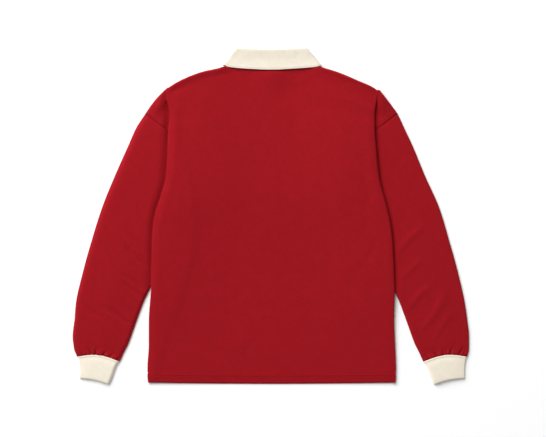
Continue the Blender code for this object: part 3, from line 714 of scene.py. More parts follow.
def hem_drop(x, row_y):
    """How far the hem's curve takes a row down towards the middle."""
    share = smooth_step((HEM_CURVE_Y - row_y) / (HEM_CURVE_Y - HEM_Y))
    return HEM_CURVE * share * (1 - min(abs(x) / HEM_HALF, 1.0) ** 2)


def row_place(row_y, x, top_line):
    """Where a row that meets the fold at row_y runs at x, in y."""
    return row_y + (top_line(x) - SHOULDER_Y) * slope_share(row_y) - hem_drop(x, row_y)


def armhole_place(share):
    """The place on the armhole seam at a share of its length, from the shoulder to the underarm."""
    y = ARMHOLE_Y(share)
    return Place(ARMHOLE_X(y), y)


def beside_armhole(place, room):
    """A place on the armhole seam, moved off it by room towards the body, or the sleeve if negative."""
    slope = ARMHOLE_X(place.y + 1.0) - ARMHOLE_X(place.y)
    length = math.hypot(1.0, slope)
    return Place(place.x - room / length, place.y + room * slope / length)


def seam_place(row_y):
    """Where a row ends at the armhole seam, or at the front's side below the underarm."""
    if row_y > CROSSING_Y:
        share = (SHOULDER_Y - row_y) / (SHOULDER_Y - CROSSING_Y)
        seam_y = lerp(ARMHOLE[0].y, CROSSING_Y, share)
        return Place(ARMHOLE_X(seam_y), seam_y)
    if row_y > ARMHOLE[-1].y:
        return Place(ARMHOLE_X(row_y), row_y)
    return Place(FRONT_SIDE_EDGE(row_y), row_y)


def cap_place(side, row_y, start, share):
    """A place on the cap of the shoulder, between the fold and the seam, bulging along the outline."""
    end = seam_place(row_y)
    place = blend(start, end, share)
    along = smooth_step((row_y - CROSSING_Y) / (SHOULDER_Y - CROSSING_Y))
    bulge = CAP_BULGE[side] * math.sin(math.pi * share) * along
    length = math.dist(start, end)
    if length < SHORTEST_CAP:
        return place
    outward = ((start.y - end.y) / length, (end.x - start.x) / length)
    place = Place(place.x + bulge * outward[0], place.y + bulge * outward[1])
    clear = beside_armhole(end, SEWN_GAP / 2)
    return Place(place.x + (clear.x - end.x) * share, place.y + (clear.y - end.y) * share)


print("the back lies", BACK_Z, "mm up, and", BACK_Z + BACK_LIFT, "over the collar's points")

# %% [markdown]
# The back is one panel with its pleated sides. A row of points crosses the flat part, rolls down over the
# fold, runs back under it and turns again to the seam. The hem is turned up and sewn with two rows of
# stitches, which pull a narrow groove into the cloth.

# %% The back's tables
BACK_FOLDS = {
    "left": rows_of(Crease, (44, -225, 88, -330, 22, -0.6), (120, 60, 60, -60, 26, -0.4)),
    "right": rows_of(Crease,
        (166, 110, 150, 10, 24, -0.6), (200, -110, 176, -180, 20, 0.6),
        (120, -190, 160, -320, 26, -0.6),
    ),
}
BACK_CREASES = {
    "left": rows_of(Crease,
        (238, 273, 180, 292, 6, 0.7, 2), (128, 316, 86, 324, 6, 0.5),
        (251, 266, 268, 240, 6, 0.5),
        (229, 120, 212, 60, 9, 0.3), (30, -268, 62, -318, 12, 0.3),
    ),
    "right": rows_of(Crease,
        (108, 324, 158, 308, 7, 0.7, -2), (150, 310, 238, 274, 8, 0.9, -3),
        (226, 60, 206, 8, 10, 0.4), (236, -60, 210, -112, 10, 0.4),
        (90, -230, 128, -300, 13, 0.3),
    ),
}
UNDER_EDGE = {
    "left": line_through(
        [(-376, 262), (-281, 236), (-180, 200), (-55, 168), (40, 170), (115, 184), (190, 207), (288, 205)]
    ),
    "right": line_through([(-376, 250), (-100, 236), (60, 226), (190, 214), (288, 205)]),
}
UNDER_EDGE_STEP = {"left": 1.4, "right": 0.5}
UNDER_EDGE_WIDTH = 26.0
UNDER_EDGE_START = 20.0
UNDER_EDGE_FADE = 40.0
ShoulderBand = namedtuple("ShoulderBand", "height start width")
SHOULDER_BAND = {"left": ShoulderBand(2.6, 1.0, 15.0), "right": ShoulderBand(2.8, 3.0, 21.0)}
BAND_INNER_END = 80.0
BAND_FADE = 30.0
SHOULDER_EDGE = 3.2
NECK_SWELL = 3.6
NECK_SWELL_HALF = 36.0
NECK_SWELL_TAPER = 0.3
NECK_SWELL_TOP = 326.0
NECK_SWELL_BOTTOM = 226.0
NECK_SWELL_EDGE = 330.0
NECK_SWELL_EDGE_FADE = 7.0
NECK_SWELL_FULL = 321.0
NECK_SWELL_FADE = 62.0
HEM_KINK = 1.0
HEM_KINK_WIDTH = 2.5
BACK_TOP_ROWS = (288.0, 287.9, 287.6, 287.2, 286.6, 285.8, 284.8, 283.6, 282.0, 280.0)
HEM_ROWS = (-348.0, -365.0)
HEM_ROW_STEP = 0.9
HEM_EDGE_STEP = 1.6
HEM_STITCH_ROWS = (-355.0, -360.0)
ROW_STEP = 4.0
BACK_ROWS = (
    list(BACK_TOP_ROWS)
    + finer((280.0, 134.0, 118.0, 98.0, HEM_ROWS[0]), ROW_STEP)[1:]
    + finer(HEM_ROWS, HEM_ROW_STEP)[1:]
    + finer((HEM_ROWS[1], -372.0), HEM_EDGE_STEP)[1:]
    + [-373.5, -374.8, -375.6, HEM_Y]
)
BACK_COLUMNS = 62
ROLL_STEPS = 8
RETURN_STEPS = 4
UNDER_STEPS = 6
CAP_STEPS = 12
LEAST_STEP = 0.15
SEAM_VALLEY = 0.7
SEAM_VALLEY_WIDTH = 2.4
FOLD_ROLL = {
    "left": line_through(
        [(-376, 1.0), (-300, 1.2), (-180, 2.0), (-60, 3.0), (60, 3.7), (190, 3.6), (235, 2.2), (288, 1.0)]
    ),
    "right": line_through(
        [(-376, 0.8), (-300, 1.0), (-180, 2.2), (-60, 3.6), (60, 4.6), (130, 5.0), (190, 4.4)]
        + [(235, 2.4), (288, 1.0)]
    ),
}
FOLD_FULLNESS = line_through([(-376, 0.1), (-300, 0.2), (-100, 0.8), (288, 0.8)])
FOLD_REACH = 3.4
FOLDED_START = 20.0
FOLDED_FADE = 90.0
EDGE_RIDGE_DROP = 0.1
CREASE_INSET = 6.0
SWELL_INSET = 12.0
SHOULDER_HEIGHT = 12.0
CAP_RISE = 15.0
CAP_CREASE_STEEPNESS = 4
HEM_LAYER = 0.35
HEM_LAYER_EDGE = 2.0
HEM_LAYER_FADE = 2.5
HEM_SLOPE = 0.9
HEM_SLOPE_START = 4.0
HEM_SLOPE_WIDTH = 18.0
HEM_EDGE_ROLL = 5.0
HEM_EDGE_DROP = 1.9
STITCH_GROOVE = 0.4
STITCH_GROOVE_WIDTH = 0.8
print(len(BACK_ROWS), "rows of points on the back")

# %% The back
def shoulder_roll(height, low, row_y):
    """Height of the cloth where it rolls down at the shoulder's edge, row_y from its top."""
    reach = min(height - low, SHOULDER_EDGE)
    past = SHOULDER_Y - row_y
    if reach <= 0 or past >= reach:
        return height
    return low + (height - low) * math.sqrt(past * (2 * reach - past)) / reach


def roll_step(radius, turn, steps):
    """Length of one straight step of a roll."""
    return max(2 * radius * math.sin(turn / steps / 2), LEAST_STEP)


def back_side_path(side, row_y):
    """One row of the back past its inner part: the fold, the return and the second turn."""
    turn = math.radians(PLEAT["under_turn"](row_y))
    second = math.radians(PLEAT["second_turn"](row_y))
    length = PLEAT["return_length"](row_y) + EDGES[side](row_y) - EDGES["left"](row_y)
    roll = FOLD_ROLL[side](row_y)
    inset = EDGE_INSET * smooth_step((row_y - EDGE_INSET_START) / EDGE_INSET_FADE)
    kink = HEM_KINK * bell(row_y - HEM_STITCH_ROWS[0], HEM_KINK_WIDTH)
    x = EDGES[side](row_y) - JERSEY / 2 - inset - roll - kink
    drop = roll * (1 - math.cos(turn)) + length * math.sin(turn)
    low = PLEAT["return_height"](row_y)
    if row_y > PLEAT_END_Y:
        low = SLEEVE_TOP_Z + UNDER_ROLL * (1 - math.cos(turn))
    steps = [
        (-turn * (i + 0.5) / ROLL_STEPS, roll_step(roll, turn, ROLL_STEPS)) for i in range(ROLL_STEPS)
    ]
    steps += [(-turn, max(length, 2 * LEAST_STEP) / RETURN_STEPS)] * RETURN_STEPS
    steps += [
        (second * (i + 0.5) / UNDER_STEPS - turn, roll_step(UNDER_ROLL, second, UNDER_STEPS))
        for i in range(UNDER_STEPS)
    ]
    extra = max(SHOULDER_HEIGHT - low - drop, 0.0) if row_y > PLEAT_END_Y else 0.0
    path = [(x, low + drop + extra)]
    for heading, step in steps:
        path.append((path[-1][0] + step * math.cos(heading), path[-1][1] + step * math.sin(heading)))
    return path[0], path[1:], second - turn, extra


SLEEVE_FULLNESS = {
    "left": line_through(
        [(-329, 2.2), (-200, 3.2), (-100, 4.4), (20, 5.2), (120, 6.4), (205, 6.2), (240, 4.4)]
        + [(262, 2.6), (286, 2.0)]
    ),
    "right": line_through([(-329, 2.0), (230, 2.4)]),
}
OUTER_EDGE_REACH = {"left": 4.5, "right": 22.0}
UNDER_BODY_REACH = 18.0
UNDERARM_STRETCH = 2.5
UNDER_BODY_POWER = 8
EDGE_BEAD = 0.8
EDGE_BEAD_REACH = 12.0
EDGE_BEAD_START = 2.0
SEAM_SHARE = 0.85


def sleeve_fullness(side, place, from_outer, from_inner):
    """How far a sleeve's upper layer stands up: less at its edges and where it runs in under the body."""
    beside_body = min(place.x - EDGES[side](place.y), UNDERARM_STRETCH * from_inner)
    into = 1 - min(max(beside_body / UNDER_BODY_REACH, 0.0), 1.0)
    full = SLEEVE_FULLNESS[side](place.y) * (1 - into * into) * settled(from_outer, OUTER_EDGE_REACH[side])
    bead = EDGE_BEAD * math.exp(-from_outer / EDGE_BEAD_REACH) * settled(from_outer, EDGE_BEAD_START)
    return (full + bead) * (1 - into**UNDER_BODY_POWER)


def back_swells(side, row_y, x, y):
    """What shows of the layers below: turned-in edges, the shoulder's seam, the neck under the collar."""
    under = UNDER_EDGE_STEP[side] * smooth_step(0.5 + (x - UNDER_EDGE[side](y)) / UNDER_EDGE_WIDTH)
    under *= smooth_step((SHOULDER_Y - UNDER_EDGE_START - row_y) / UNDER_EDGE_FADE)
    band = SHOULDER_BAND[side]
    seam = band.height * (1 - smooth_step((SHOULDER_Y - row_y - band.start) / band.width))
    seam *= smooth_step((x - BAND_INNER_END) / BAND_FADE)
    if y <= NECK_SWELL_BOTTOM:
        return under + seam
    neck = NECK_SWELL * bell(x, NECK_SWELL_HALF - NECK_SWELL_TAPER * (NECK_SWELL_TOP - y))
    neck *= smooth_step((NECK_SWELL_EDGE - y) / NECK_SWELL_EDGE_FADE)
    neck *= 1 - smooth_step((NECK_SWELL_FULL - y) / NECK_SWELL_FADE)
    return under + seam + neck


def back_row(side, row_y):
    """The points of one row on one side, from the middle to the seam, without their places on the cloth."""
    start, path, heading, extra = back_side_path(side, row_y)
    flat = PLEAT["return_length"](row_y) + FLAT_PAST_RETURN
    edge_y = row_place(row_y, start[0], SHOULDERS[side])
    rise = start[1] - back_height(start[0], edge_y)
    folded = smooth_step((SHOULDER_Y + FOLDED_START - row_y) / FOLDED_FADE)
    row = []
    for i in range(BACK_COLUMNS + 1):
        x = i / BACK_COLUMNS * start[0]
        y = row_place(row_y, x, SHOULDERS[side])
        past = start[0] - x
        inner = smooth_step(past / FOLD_FADE_EDGE) * smooth_step(x / FOLD_FADE_MIDDLE)
        ridge = 1 - EDGE_RIDGE_DROP * min(past / flat, 1.0)
        ridge *= 1 - smooth_step((past - flat) / EDGE_RUN_OUT)
        height = back_height(x, y) + rise * ridge + crease_relief(BACK_FOLDS[side], x, y) * inner
        height += crease_relief(BACK_CREASES[side], x, y) * smooth_step(past / CREASE_INSET)
        full = FOLD_FULLNESS(row_y) * folded * settled(past, FOLD_REACH)
        height += full * (1 - smooth_step(past / EDGE_RUN_OUT))
        height += back_swells(side, row_y, x, y) * smooth_step(past / SWELL_INSET)
        low = front_height(x, y) + JERSEY / 2 + LAYER_GAP
        near_neck = smooth_step((NECK_HALF + NECK_FADE - x) / NECK_FADE)
        row.append((x, y, lerp(shoulder_roll(height, low, row_y), height, near_neck)))
    low = front_height(start[0], edge_y) + JERSEY / 2 + LAYER_GAP
    for x, z in path:
        row.append((x, edge_y, shoulder_roll(z, low, row_y) if row_y > SHOULDER_ROLL_Y else z))
    last = path[-1]
    for i in range(1, CAP_STEPS + 1):
        share = i / CAP_STEPS
        if row_y >= PLEAT_END_Y:
            place = cap_place(side, row_y, Place(last[0], edge_y), share)
            end = seam_place(row_y)
            seam_rise = SEAM_SHARE * sleeve_fullness(side, end, math.dist(end, ARMHOLE[0]), math.inf)
            beside_fold = place.x - EDGES[side](place.y)
            z = last[1] - extra * smooth_step(share) + seam_rise * smooth_step(beside_fold / CAP_RISE)
            z = shoulder_roll(z, low, row_y) if row_y > SHOULDER_ROLL_Y else z
            z -= SEAM_VALLEY * bell(math.dist(place, end), SEAM_VALLEY_WIDTH)
            near_fold = smooth_step(share * CAP_CREASE_STEEPNESS)
            z += crease_relief(BACK_CREASES[side], place.x, place.y) * near_fold
            row.append((place.x, place.y, z))
        else:
            run = STUB * share
            row.append((last[0] + run * math.cos(heading), edge_y, last[1] + run * math.sin(heading)))
    return row


def whole_row(left, right, v):
    """Joins two half rows into one from left to right, with each point's place on the cloth."""
    mirrored = [(-x, y, z, -u, v) for x, y, z, u, v in reversed(with_places(left, v)[1:])]
    return mirrored + with_places(right, v)


def whole_rows(half_row, row_ys):
    """Rows across a panel, from a function that gives half of one."""
    return [whole_row(*[half_row(side, row_y) for side in SIDES], row_y) for row_y in row_ys]


def hem_relief(u, v):
    """The hem's second layer, and the grooves of its two rows of stitches."""
    thick = HEM_LAYER * smooth_step((HEM_STITCH_ROWS[0] + HEM_LAYER_EDGE - v) / HEM_LAYER_FADE)
    thick -= HEM_SLOPE * smooth_step((HEM_STITCH_ROWS[1] + HEM_SLOPE_START - v) / HEM_SLOPE_WIDTH)
    rolled = min(max((HEM_Y + HEM_EDGE_ROLL - v) / HEM_EDGE_ROLL, 0.0), 1.0)
    edge = HEM_EDGE_DROP * (1 - math.sqrt(1 - rolled * rolled))
    grooves = sum(bell(v - row, STITCH_GROOVE_WIDTH) for row in HEM_STITCH_ROWS)
    return thick - edge - STITCH_GROOVE * grooves


back = cloth("back_panel", whole_rows(back_row, BACK_ROWS), JERSEY, RED_JERSEY, relief=hem_relief)
worn(
    back, ["back"],
)

# %% [markdown]
# Thread is a thin rounded bar. One stitch is modelled and copied along the hem's two rows, and a ray from
# above lays each copy on the cloth.

# %% Stitches of the hem
STITCH_LENGTH = 2.5
STITCH_PITCH = 3.4
THREAD_WIDTH = 0.55
THREAD_SIDES = 6
THREAD_BEVEL = 0.18
THREAD_BEVEL_STEPS = 2
THREAD_SMOOTHING = 50
STITCH_SINK = 0.12
STITCHES_HALF = 272.0
RAY_START = 0.05


def thread_bar(name, length):
    """A short length of thread along X: a bar with six sides, whose ends are rounded in edit mode."""
    bpy.ops.object.select_all(action="DESELECT")
    bpy.ops.mesh.primitive_cylinder_add(
        vertices=THREAD_SIDES, radius=THREAD_WIDTH / 2 * MM, depth=length * MM,
        rotation=(0, math.radians(90), 0),
    )
    bar = bpy.context.object
    bar.name = name
    bpy.ops.object.transform_apply(location=True, rotation=True, scale=True)
    for edge in bar.data.edges:
        ends = [bar.data.vertices[i].co.x for i in edge.vertices]
        edge.select = abs(ends[0] - ends[1]) < 0.1 * MM
    bpy.ops.object.mode_set(mode="EDIT")
    bpy.ops.mesh.select_mode(type="EDGE")
    bpy.ops.mesh.bevel(offset=THREAD_BEVEL * MM, segments=THREAD_BEVEL_STEPS)
    bpy.ops.object.mode_set(mode="OBJECT")
    bar.data.materials.append(RED_JERSEY)
    return bar


def joined(first, others):
    """Joins pieces into the first one."""
    take(first, others)
    bpy.ops.object.join()
    bpy.ops.object.transform_apply(location=True, rotation=True, scale=True)
    bpy.ops.object.shade_smooth_by_angle(angle=math.radians(THREAD_SMOOTHING))
    return first


def sew_hem(cloth_piece):
    """Two rows of stitches along the hem of the back."""
    stitch = thread_bar("hem_stitches", STITCH_LENGTH)
    copies = []
    count = int(2 * STITCHES_HALF / STITCH_PITCH)
    for row in HEM_STITCH_ROWS:
        for i in range(count + 1):
            x = i * STITCH_PITCH - STITCHES_HALF
            above = Vector(((x - MIDDLE_X) * MM, (row - hem_drop(x, row) - MIDDLE_Y) * MM, RAY_START))
            found, place, _, _ = cloth_piece.ray_cast(above, Vector((0, 0, -1)))
            if found:
                copy = stitch.copy()
                copy.data = stitch.data.copy()
                copy.location = (place.x, place.y, place.z + (THREAD_WIDTH / 2 - STITCH_SINK) * MM)
                bpy.context.scene.collection.objects.link(copy)
                copies.append(copy)
    bpy.data.objects.remove(stitch, do_unlink=True)
    copies[0].name = "hem_stitches"
    return joined(copies[0], copies[1:])


hem_stitches = sew_hem(back)
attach(hem_stitches, "root")
print(hem_stitches.name, "has", len(hem_stitches.data.polygons), "faces")

# %% [markdown]
# The front lies on the table under the back. It is finished plainly, because the shirt hides it: one
# panel with its deep neckline, the slit for the placket, the same hem, and a few soft creases of its own.

# %% The front
FRONT_TOP_ROWS = (288.0, 286.0, 283.0, 280.0)
FRONT_HEM_INSET = 3.2
FRONT_ROWS = (
    list(FRONT_TOP_ROWS)
    + finer((280.0, CROSSING_Y, HEM_ROWS[0]), 6.0)[1:]
    + finer(HEM_ROWS, HEM_ROW_STEP)[1:]
    + [-369.0, HEM_Y + FRONT_HEM_INSET]
)
FRONT_COLUMNS = [0.0] + finer((PLACKET_WIDTH / 2, NECK_HALF), 4.0) + finer((NECK_HALF, 208.0), 6.0)[1:]
FRONT_OUTER_STEPS = 6
FRONT_CREASES = rows_of(Crease,
    (-150, 60, -96, -48, 16, 0.35), (-60, -120, -20, -230, 18, 0.3),
    (58, 20, 118, -66, 15, 0.35), (150, -150, 176, -270, 18, 0.3),
    (-196, -190, -150, -290, 16, 0.3), (30, -70, 46, -150, 14, 0.25),
)
FRONT_CREASE_TOP = 80.0
FRONT_STITCH_GROOVE = 0.2


def front_top(x):
    """The front's top edge: the deep neckline between the shoulders' ends at the neck."""
    across = max(NECK_HALF - abs(x), 0.0) / (NECK_HALF - PLACKET_WIDTH / 2)
    return NECKLINE_TOP - NECKLINE_DEPTH * math.sqrt(1 - (1 - min(across, 1.0)) ** 2)


def front_row(side, row_y):
    """The points of one row of the front on one side."""

    def top_line(x):
        return front_top(x) if x < NECK_HALF else SHOULDERS[side](x) - FRONT_INSET

    def point(x, y):
        ridge = max(0.0, -crease_relief(FRONT_CREASES, SIGNS[side] * x, y)) if y < FRONT_CREASE_TOP else 0.0
        return x, y, front_height(x, y) + ridge

    end = seam_place(row_y)
    edge = EDGES[side](row_y) - JERSEY / 2 - BODY_ROLL
    if row_y <= CROSSING_Y:
        edge = min(edge, (FRONT_COLUMNS[-1] + end.x) / 2)
    row = [point(x, row_place(row_y, max(x, PLACKET_WIDTH / 2), top_line)) for x in FRONT_COLUMNS]
    for x in finer((FRONT_COLUMNS[-1], edge), abs(edge - FRONT_COLUMNS[-1]) / FRONT_OUTER_STEPS)[1:]:
        row.append(point(x, row_place(row_y, x, top_line)))
    start = Place(row[-1][0], row[-1][1])
    for i in range(1, FRONT_OUTER_STEPS + 1):
        share = i / FRONT_OUTER_STEPS
        if row_y > CROSSING_Y:
            place = cap_place(side, row_y, start, share)
        else:
            place = blend(start, beside_armhole(end, SEWN_GAP / 2), share)
        row.append(point(place.x, place.y))
    return row


def cut_slit(piece):
    """Opens the slit for the placket, before the sheet gets its wall."""
    bm = bmesh.new()
    bm.from_mesh(piece.data)
    slit = []
    for face in bm.faces:
        middle = face.calc_center_median()
        within = abs(middle.x + MIDDLE_X * MM) < PLACKET_WIDTH / 2 * MM
        if within and middle.y + MIDDLE_Y * MM > PLACKET_BOTTOM * MM:
            slit.append(face)
    bmesh.ops.delete(bm, geom=slit, context="FACES")
    bm.to_mesh(piece.data)
    bm.free()


def front_relief(u, v):
    """The grooves of the front hem's stitches, on the side that lies down."""
    return FRONT_STITCH_GROOVE * sum(bell(v - row, STITCH_GROOVE_WIDTH) for row in HEM_STITCH_ROWS)


front = cloth(
    "front_panel", whole_rows(front_row, FRONT_ROWS), JERSEY, RED_JERSEY,
    relief=front_relief, shaped=cut_slit,
)
worn(front, ["front"])

# %% [markdown]
# Each sleeve is a tube that lies flat: its section is two layers joined by small rolls at the folded
# edges. The rings start on the armhole's seam and end at the cuff, where small gathers take up the
# sleeve's fullness.

# %% The sleeves
Gather = namedtuple("Gather", "across width depth lean")
SLEEVE_END_ARCH = 9.0
CROWN = 1.2
TUCK_DEPTH = 1.6
TUCK_WIDTH = 2.6
CROWN_START = 0.2
CROWN_RISE = 0.3
SLEEVE_END_SHARE = 0.65
GATHER_START = 0.95
PUFF = 1.6
SLEEVE_OUTER_END_Y = -318.0
SLEEVE_INNER_END_Y = -329.0
SLEEVE_LENGTH = 560.0
SLEEVE_RINGS = (
    finer((0.0, 0.02), 0.0025) + finer((0.02, 0.86), 0.0085)[1:] + finer((0.86, 1.0), 0.0055)[1:]
)
SLEEVE_TOPS = 96
SLEEVE_BOTTOMS = 24
TUBE_ROLL_STEPS = 8
ARCH_POWER = 6
SEAM_BEND_POWER = 2
SEAM_BEND_INNER = 40
SEAM_CLEAR_POWER = 8
SEAM_RECOVERY = 40.0
SEAM_OUTER_SHARE = 0.35
SEAM_SHARE_FADE = 0.2
SLEEVE_END_START = 0.88
GATHER_DEPTH = 1.25
GATHER_SPREAD = 0.14
PUFF_STEEPNESS = 12
LOWEST_GATHER = -0.4
SEAM_VALLEY_STEEPNESS = 8
GATHERS = {
    "left": rows_of(Gather,
        (0.13, 2.2, 2.2, -0.1), (0.25, 1.8, 1.6, -0.2), (0.345, 2.0, 3.8, -0.25),
        (0.435, 1.8, 3.6, 0.2), (0.61, 2.2, 3.6, 0.35), (0.76, 2.0, 2.2, 0.4),
        (0.94, 2.0, 1.8, 0.3),
    ),
    "right": rows_of(Gather,
        (0.09, 2.0, 1.8, -0.2), (0.19, 2.1, 3.2, -0.4), (0.395, 2.0, 3.6, -0.2),
        (0.47, 1.7, 1.8, 0.1), (0.545, 2.1, 2.8, 0.1), (0.69, 2.2, 3.6, 0.3),
        (0.90, 2.0, 1.9, 0.3),
    ),
}
SLEEVE_CREASES = {
    "left": rows_of(Crease,
        (331, -34, 284, -88, 8, 1.3, 3), (329, -66, 277, -116, 8, 1.6, -3),
        (346, -128, 286, -170, 8, 1.1, 3), (330, -150, 287, -186, 7, 1.3, -2),
        (380, -205, 318, -249, 9, 1.5, 3), (412, -212, 372, -234, 8, 0.8),
        (312, 150, 268, 100, 12, 0.4), (300, 40, 286, -10, 12, 0.4),
    ),
    "right": rows_of(Crease,
        (344, -23, 278, -92, 8, -1.4, 4), (334, -100, 290, -142, 7, -1.1, -2),
        (360, -155, 304, -213, 8, -1.2, 3), (390, -179, 341, -253, 9, -1.4, -4),
        (407, -217, 371, -273, 7, -0.8, 2), (300, 140, 268, 92, 12, 0.4),
        (318, 62, 300, 6, 12, 0.3),
    ),
}


def tube_section(width, wall, roll, tops, bottoms):
    """Round a flattened tube: (distance across, height, share across the top or None) for each point."""
    inset = wall / 2 + roll
    points = []
    for i in range(TUBE_ROLL_STEPS):
        angle = math.radians(-90 - 180 * i / TUBE_ROLL_STEPS)
        points.append((inset + roll * math.cos(angle), inset + roll * math.sin(angle), None))
    for i in range(tops + 1):
        points.append((lerp(inset, width - inset, i / tops), inset + roll, i / tops))
    for i in range(1, TUBE_ROLL_STEPS + 1):
        angle = math.radians(90 - 180 * i / TUBE_ROLL_STEPS)
        points.append((width - inset + roll * math.cos(angle), inset + roll * math.sin(angle), None))
    for i in range(1, bottoms + 1):
        points.append((lerp(width - inset, inset, i / bottoms), wall / 2, None))
    return points


def sleeve_ring(side, along):
    """The line of one ring of the sleeve in plan, from its outer edge to its inner one."""
    top, underarm = ARMHOLE[0], ARMHOLE[-1]
    outer_y = lerp(top.y, SLEEVE_OUTER_END_Y, along)
    outer = Place(OUTER[side](outer_y) if along else top.x, outer_y)
    inner_y = lerp(underarm.y, SLEEVE_INNER_END_Y, along)
    inner = Place(INNER_EDGE(inner_y), inner_y)
    arch = SLEEVE_END_ARCH * along**ARCH_POWER

    def at(share):
        bend = (1 - along) ** (SEAM_BEND_POWER + SEAM_BEND_INNER * share * share)
        chord = blend(outer, inner, share)
        seam = armhole_place(share)
        from_seam = blend(top, underarm, share)
        x = chord.x + bend * (seam.x - from_seam.x)
        y = chord.y + bend * (seam.y - from_seam.y) + arch * math.sin(math.pi * share)
        clear = beside_armhole(seam, -SEWN_GAP / 2 * (1 - along) ** SEAM_CLEAR_POWER)
        return Place(x + clear.x - seam.x, y + clear.y - seam.y)

    return at, math.dist(outer, inner)


def sleeve_top(side, share, along, width, place):
    """How far the sleeve's upper layer rises over its flat height, with gathers at the cuff."""
    crown = CROWN * math.sin(math.pi * share) ** 2 * smooth_step((along - CROWN_START) / CROWN_RISE)
    full = sleeve_fullness(side, place, share * width, (1 - share) * width)
    past_seam = smooth_step(along * SLEEVE_LENGTH / SEAM_RECOVERY)
    past_outer = smooth_step((share - SEAM_OUTER_SHARE) / SEAM_SHARE_FADE)
    full *= lerp(SEAM_SHARE, 1.0, max(past_seam, past_outer))
    ending = smooth_step((along - SLEEVE_END_START) / (1 - SLEEVE_END_START))
    height = (crown + full) * lerp(1.0, SLEEVE_END_SHARE, ending)
    to_cuff = (1 - along) * SLEEVE_LENGTH
    near_cuff = smooth_step((along - GATHER_START) / (1 - GATHER_START))
    dips = 0.0
    for gather in GATHERS[side]:
        off = (share - gather.across) * width - gather.lean * to_cuff
        dips += GATHER_DEPTH * gather.depth * bell(off, gather.width + GATHER_SPREAD * to_cuff)
    puff = PUFF * smooth_step(share * (1 - share) * PUFF_STEEPNESS)
    tuck = TUCK_DEPTH * bell(to_cuff, TUCK_WIDTH)
    return max(height + near_cuff * (puff - dips) - tuck, LOWEST_GATHER)


def sleeve_rows(side):
    """The rings of one sleeve, from the armhole to the cuff."""
    rows = []
    for along in SLEEVE_RINGS:
        at, width = sleeve_ring(side, along)
        ring = []
        for across, z, share in tube_section(width, JERSEY, SLEEVE_ROLL, SLEEVE_TOPS, SLEEVE_BOTTOMS):
            place = at(across / width)
            if share is not None:
                z += sleeve_top(side, share, along, width, place)
                z += crease_relief(SLEEVE_CREASES[side], place.x, place.y)
                from_fold = smooth_step(share * SEAM_VALLEY_STEEPNESS)
                z -= SEAM_VALLEY * bell(along * SLEEVE_LENGTH, SEAM_VALLEY_WIDTH) * from_fold
            ring.append((SIGNS[side] * place.x, place.y, z))
        rows.append(with_places(ring, along * SLEEVE_LENGTH))
    return rows


for side in SIDES:
    sleeve = cloth(f"sleeve_{side}_tube", sleeve_rows(side), JERSEY, RED_JERSEY, closed=True)
    worn(sleeve, [f"sleeve_{side}"])

# %% [markdown]
# The cuffs are tubes of rib. Their wales are real relief, a small cosine of the place on the cloth, and
# the seam to the sleeve stands up as a smooth pale welt, because the rib is stretched as it is sewn on.

# %% The cuffs
CuffLine = namedtuple("CuffLine", "down outer_left outer_right outer_y inner inner_y")
CUFF_LINES = rows_of(CuffLine,
    (0.00, 436.5, 440.0, -318.0, 344.5, -328.6),
    (0.25, 434.5, 437.5, -331.0, 351.0, -340.0),
    (0.60, 432.8, 436.0, -348.5, 357.0, -357.0),
    (1.00, 434.0, 436.2, -366.0, 366.0, -380.0),
)
CUFF_END_ARCH = 3.6
CUFF_LENGTH = 50.0
CUFF_RINGS = (
    finer((0.0, 0.08), 0.013) + finer((0.08, 0.92), 0.06)[1:] + finer((0.92, 1.0), 0.02)[1:]
)
CUFF_TOPS = 150
CUFF_BOTTOMS = 60
RIB_PITCH = 2.5
RIB_DEPTH = 0.1
RIB_START = 2.5
RIB_START_FADE = 2.0
RIB_END_FADE = 1.5
WELT_HEIGHT = 0.6
WELT_PLACE = 1.4
WELT_WIDTH = 1.4
WELT_DIP = 0.2
WELT_DIP_PLACE = 4.2
CUFF_END_DROP = 0.6
CUFF_END_WIDTH = 2.2
CUFF_TOP_SHARE = 0.55
CUFF_TOP_FADE = 0.3
CUFF_FULLNESS = 2.2
CUFF_OUTER_REACH = 14.0
CUFF_INNER_REACH = 1.3


def cuff_relief(u, v):
    """Rib wales that fade into the welt at the seam and at the rounded end."""
    fade = smooth_step((v - RIB_START) / RIB_START_FADE) * smooth_step((CUFF_LENGTH - v) / RIB_END_FADE)
    welt = WELT_HEIGHT * bell(v - WELT_PLACE, WELT_WIDTH) - WELT_DIP * bell(v - WELT_DIP_PLACE, 1.0)
    end = CUFF_END_DROP * bell(v - CUFF_LENGTH, CUFF_END_WIDTH)
    return RIB_DEPTH * fade * math.cos(2 * math.pi * u / RIB_PITCH) + welt - end


def cuff_edge(x_column, y_column, down):
    """A place on one edge of the cuff, at a share of the way down it."""
    lines = [
        line_through([(row.down, getattr(row, column)) for row in CUFF_LINES])
        for column in (x_column, y_column)
    ]
    return Place(lines[0](down), lines[1](down))


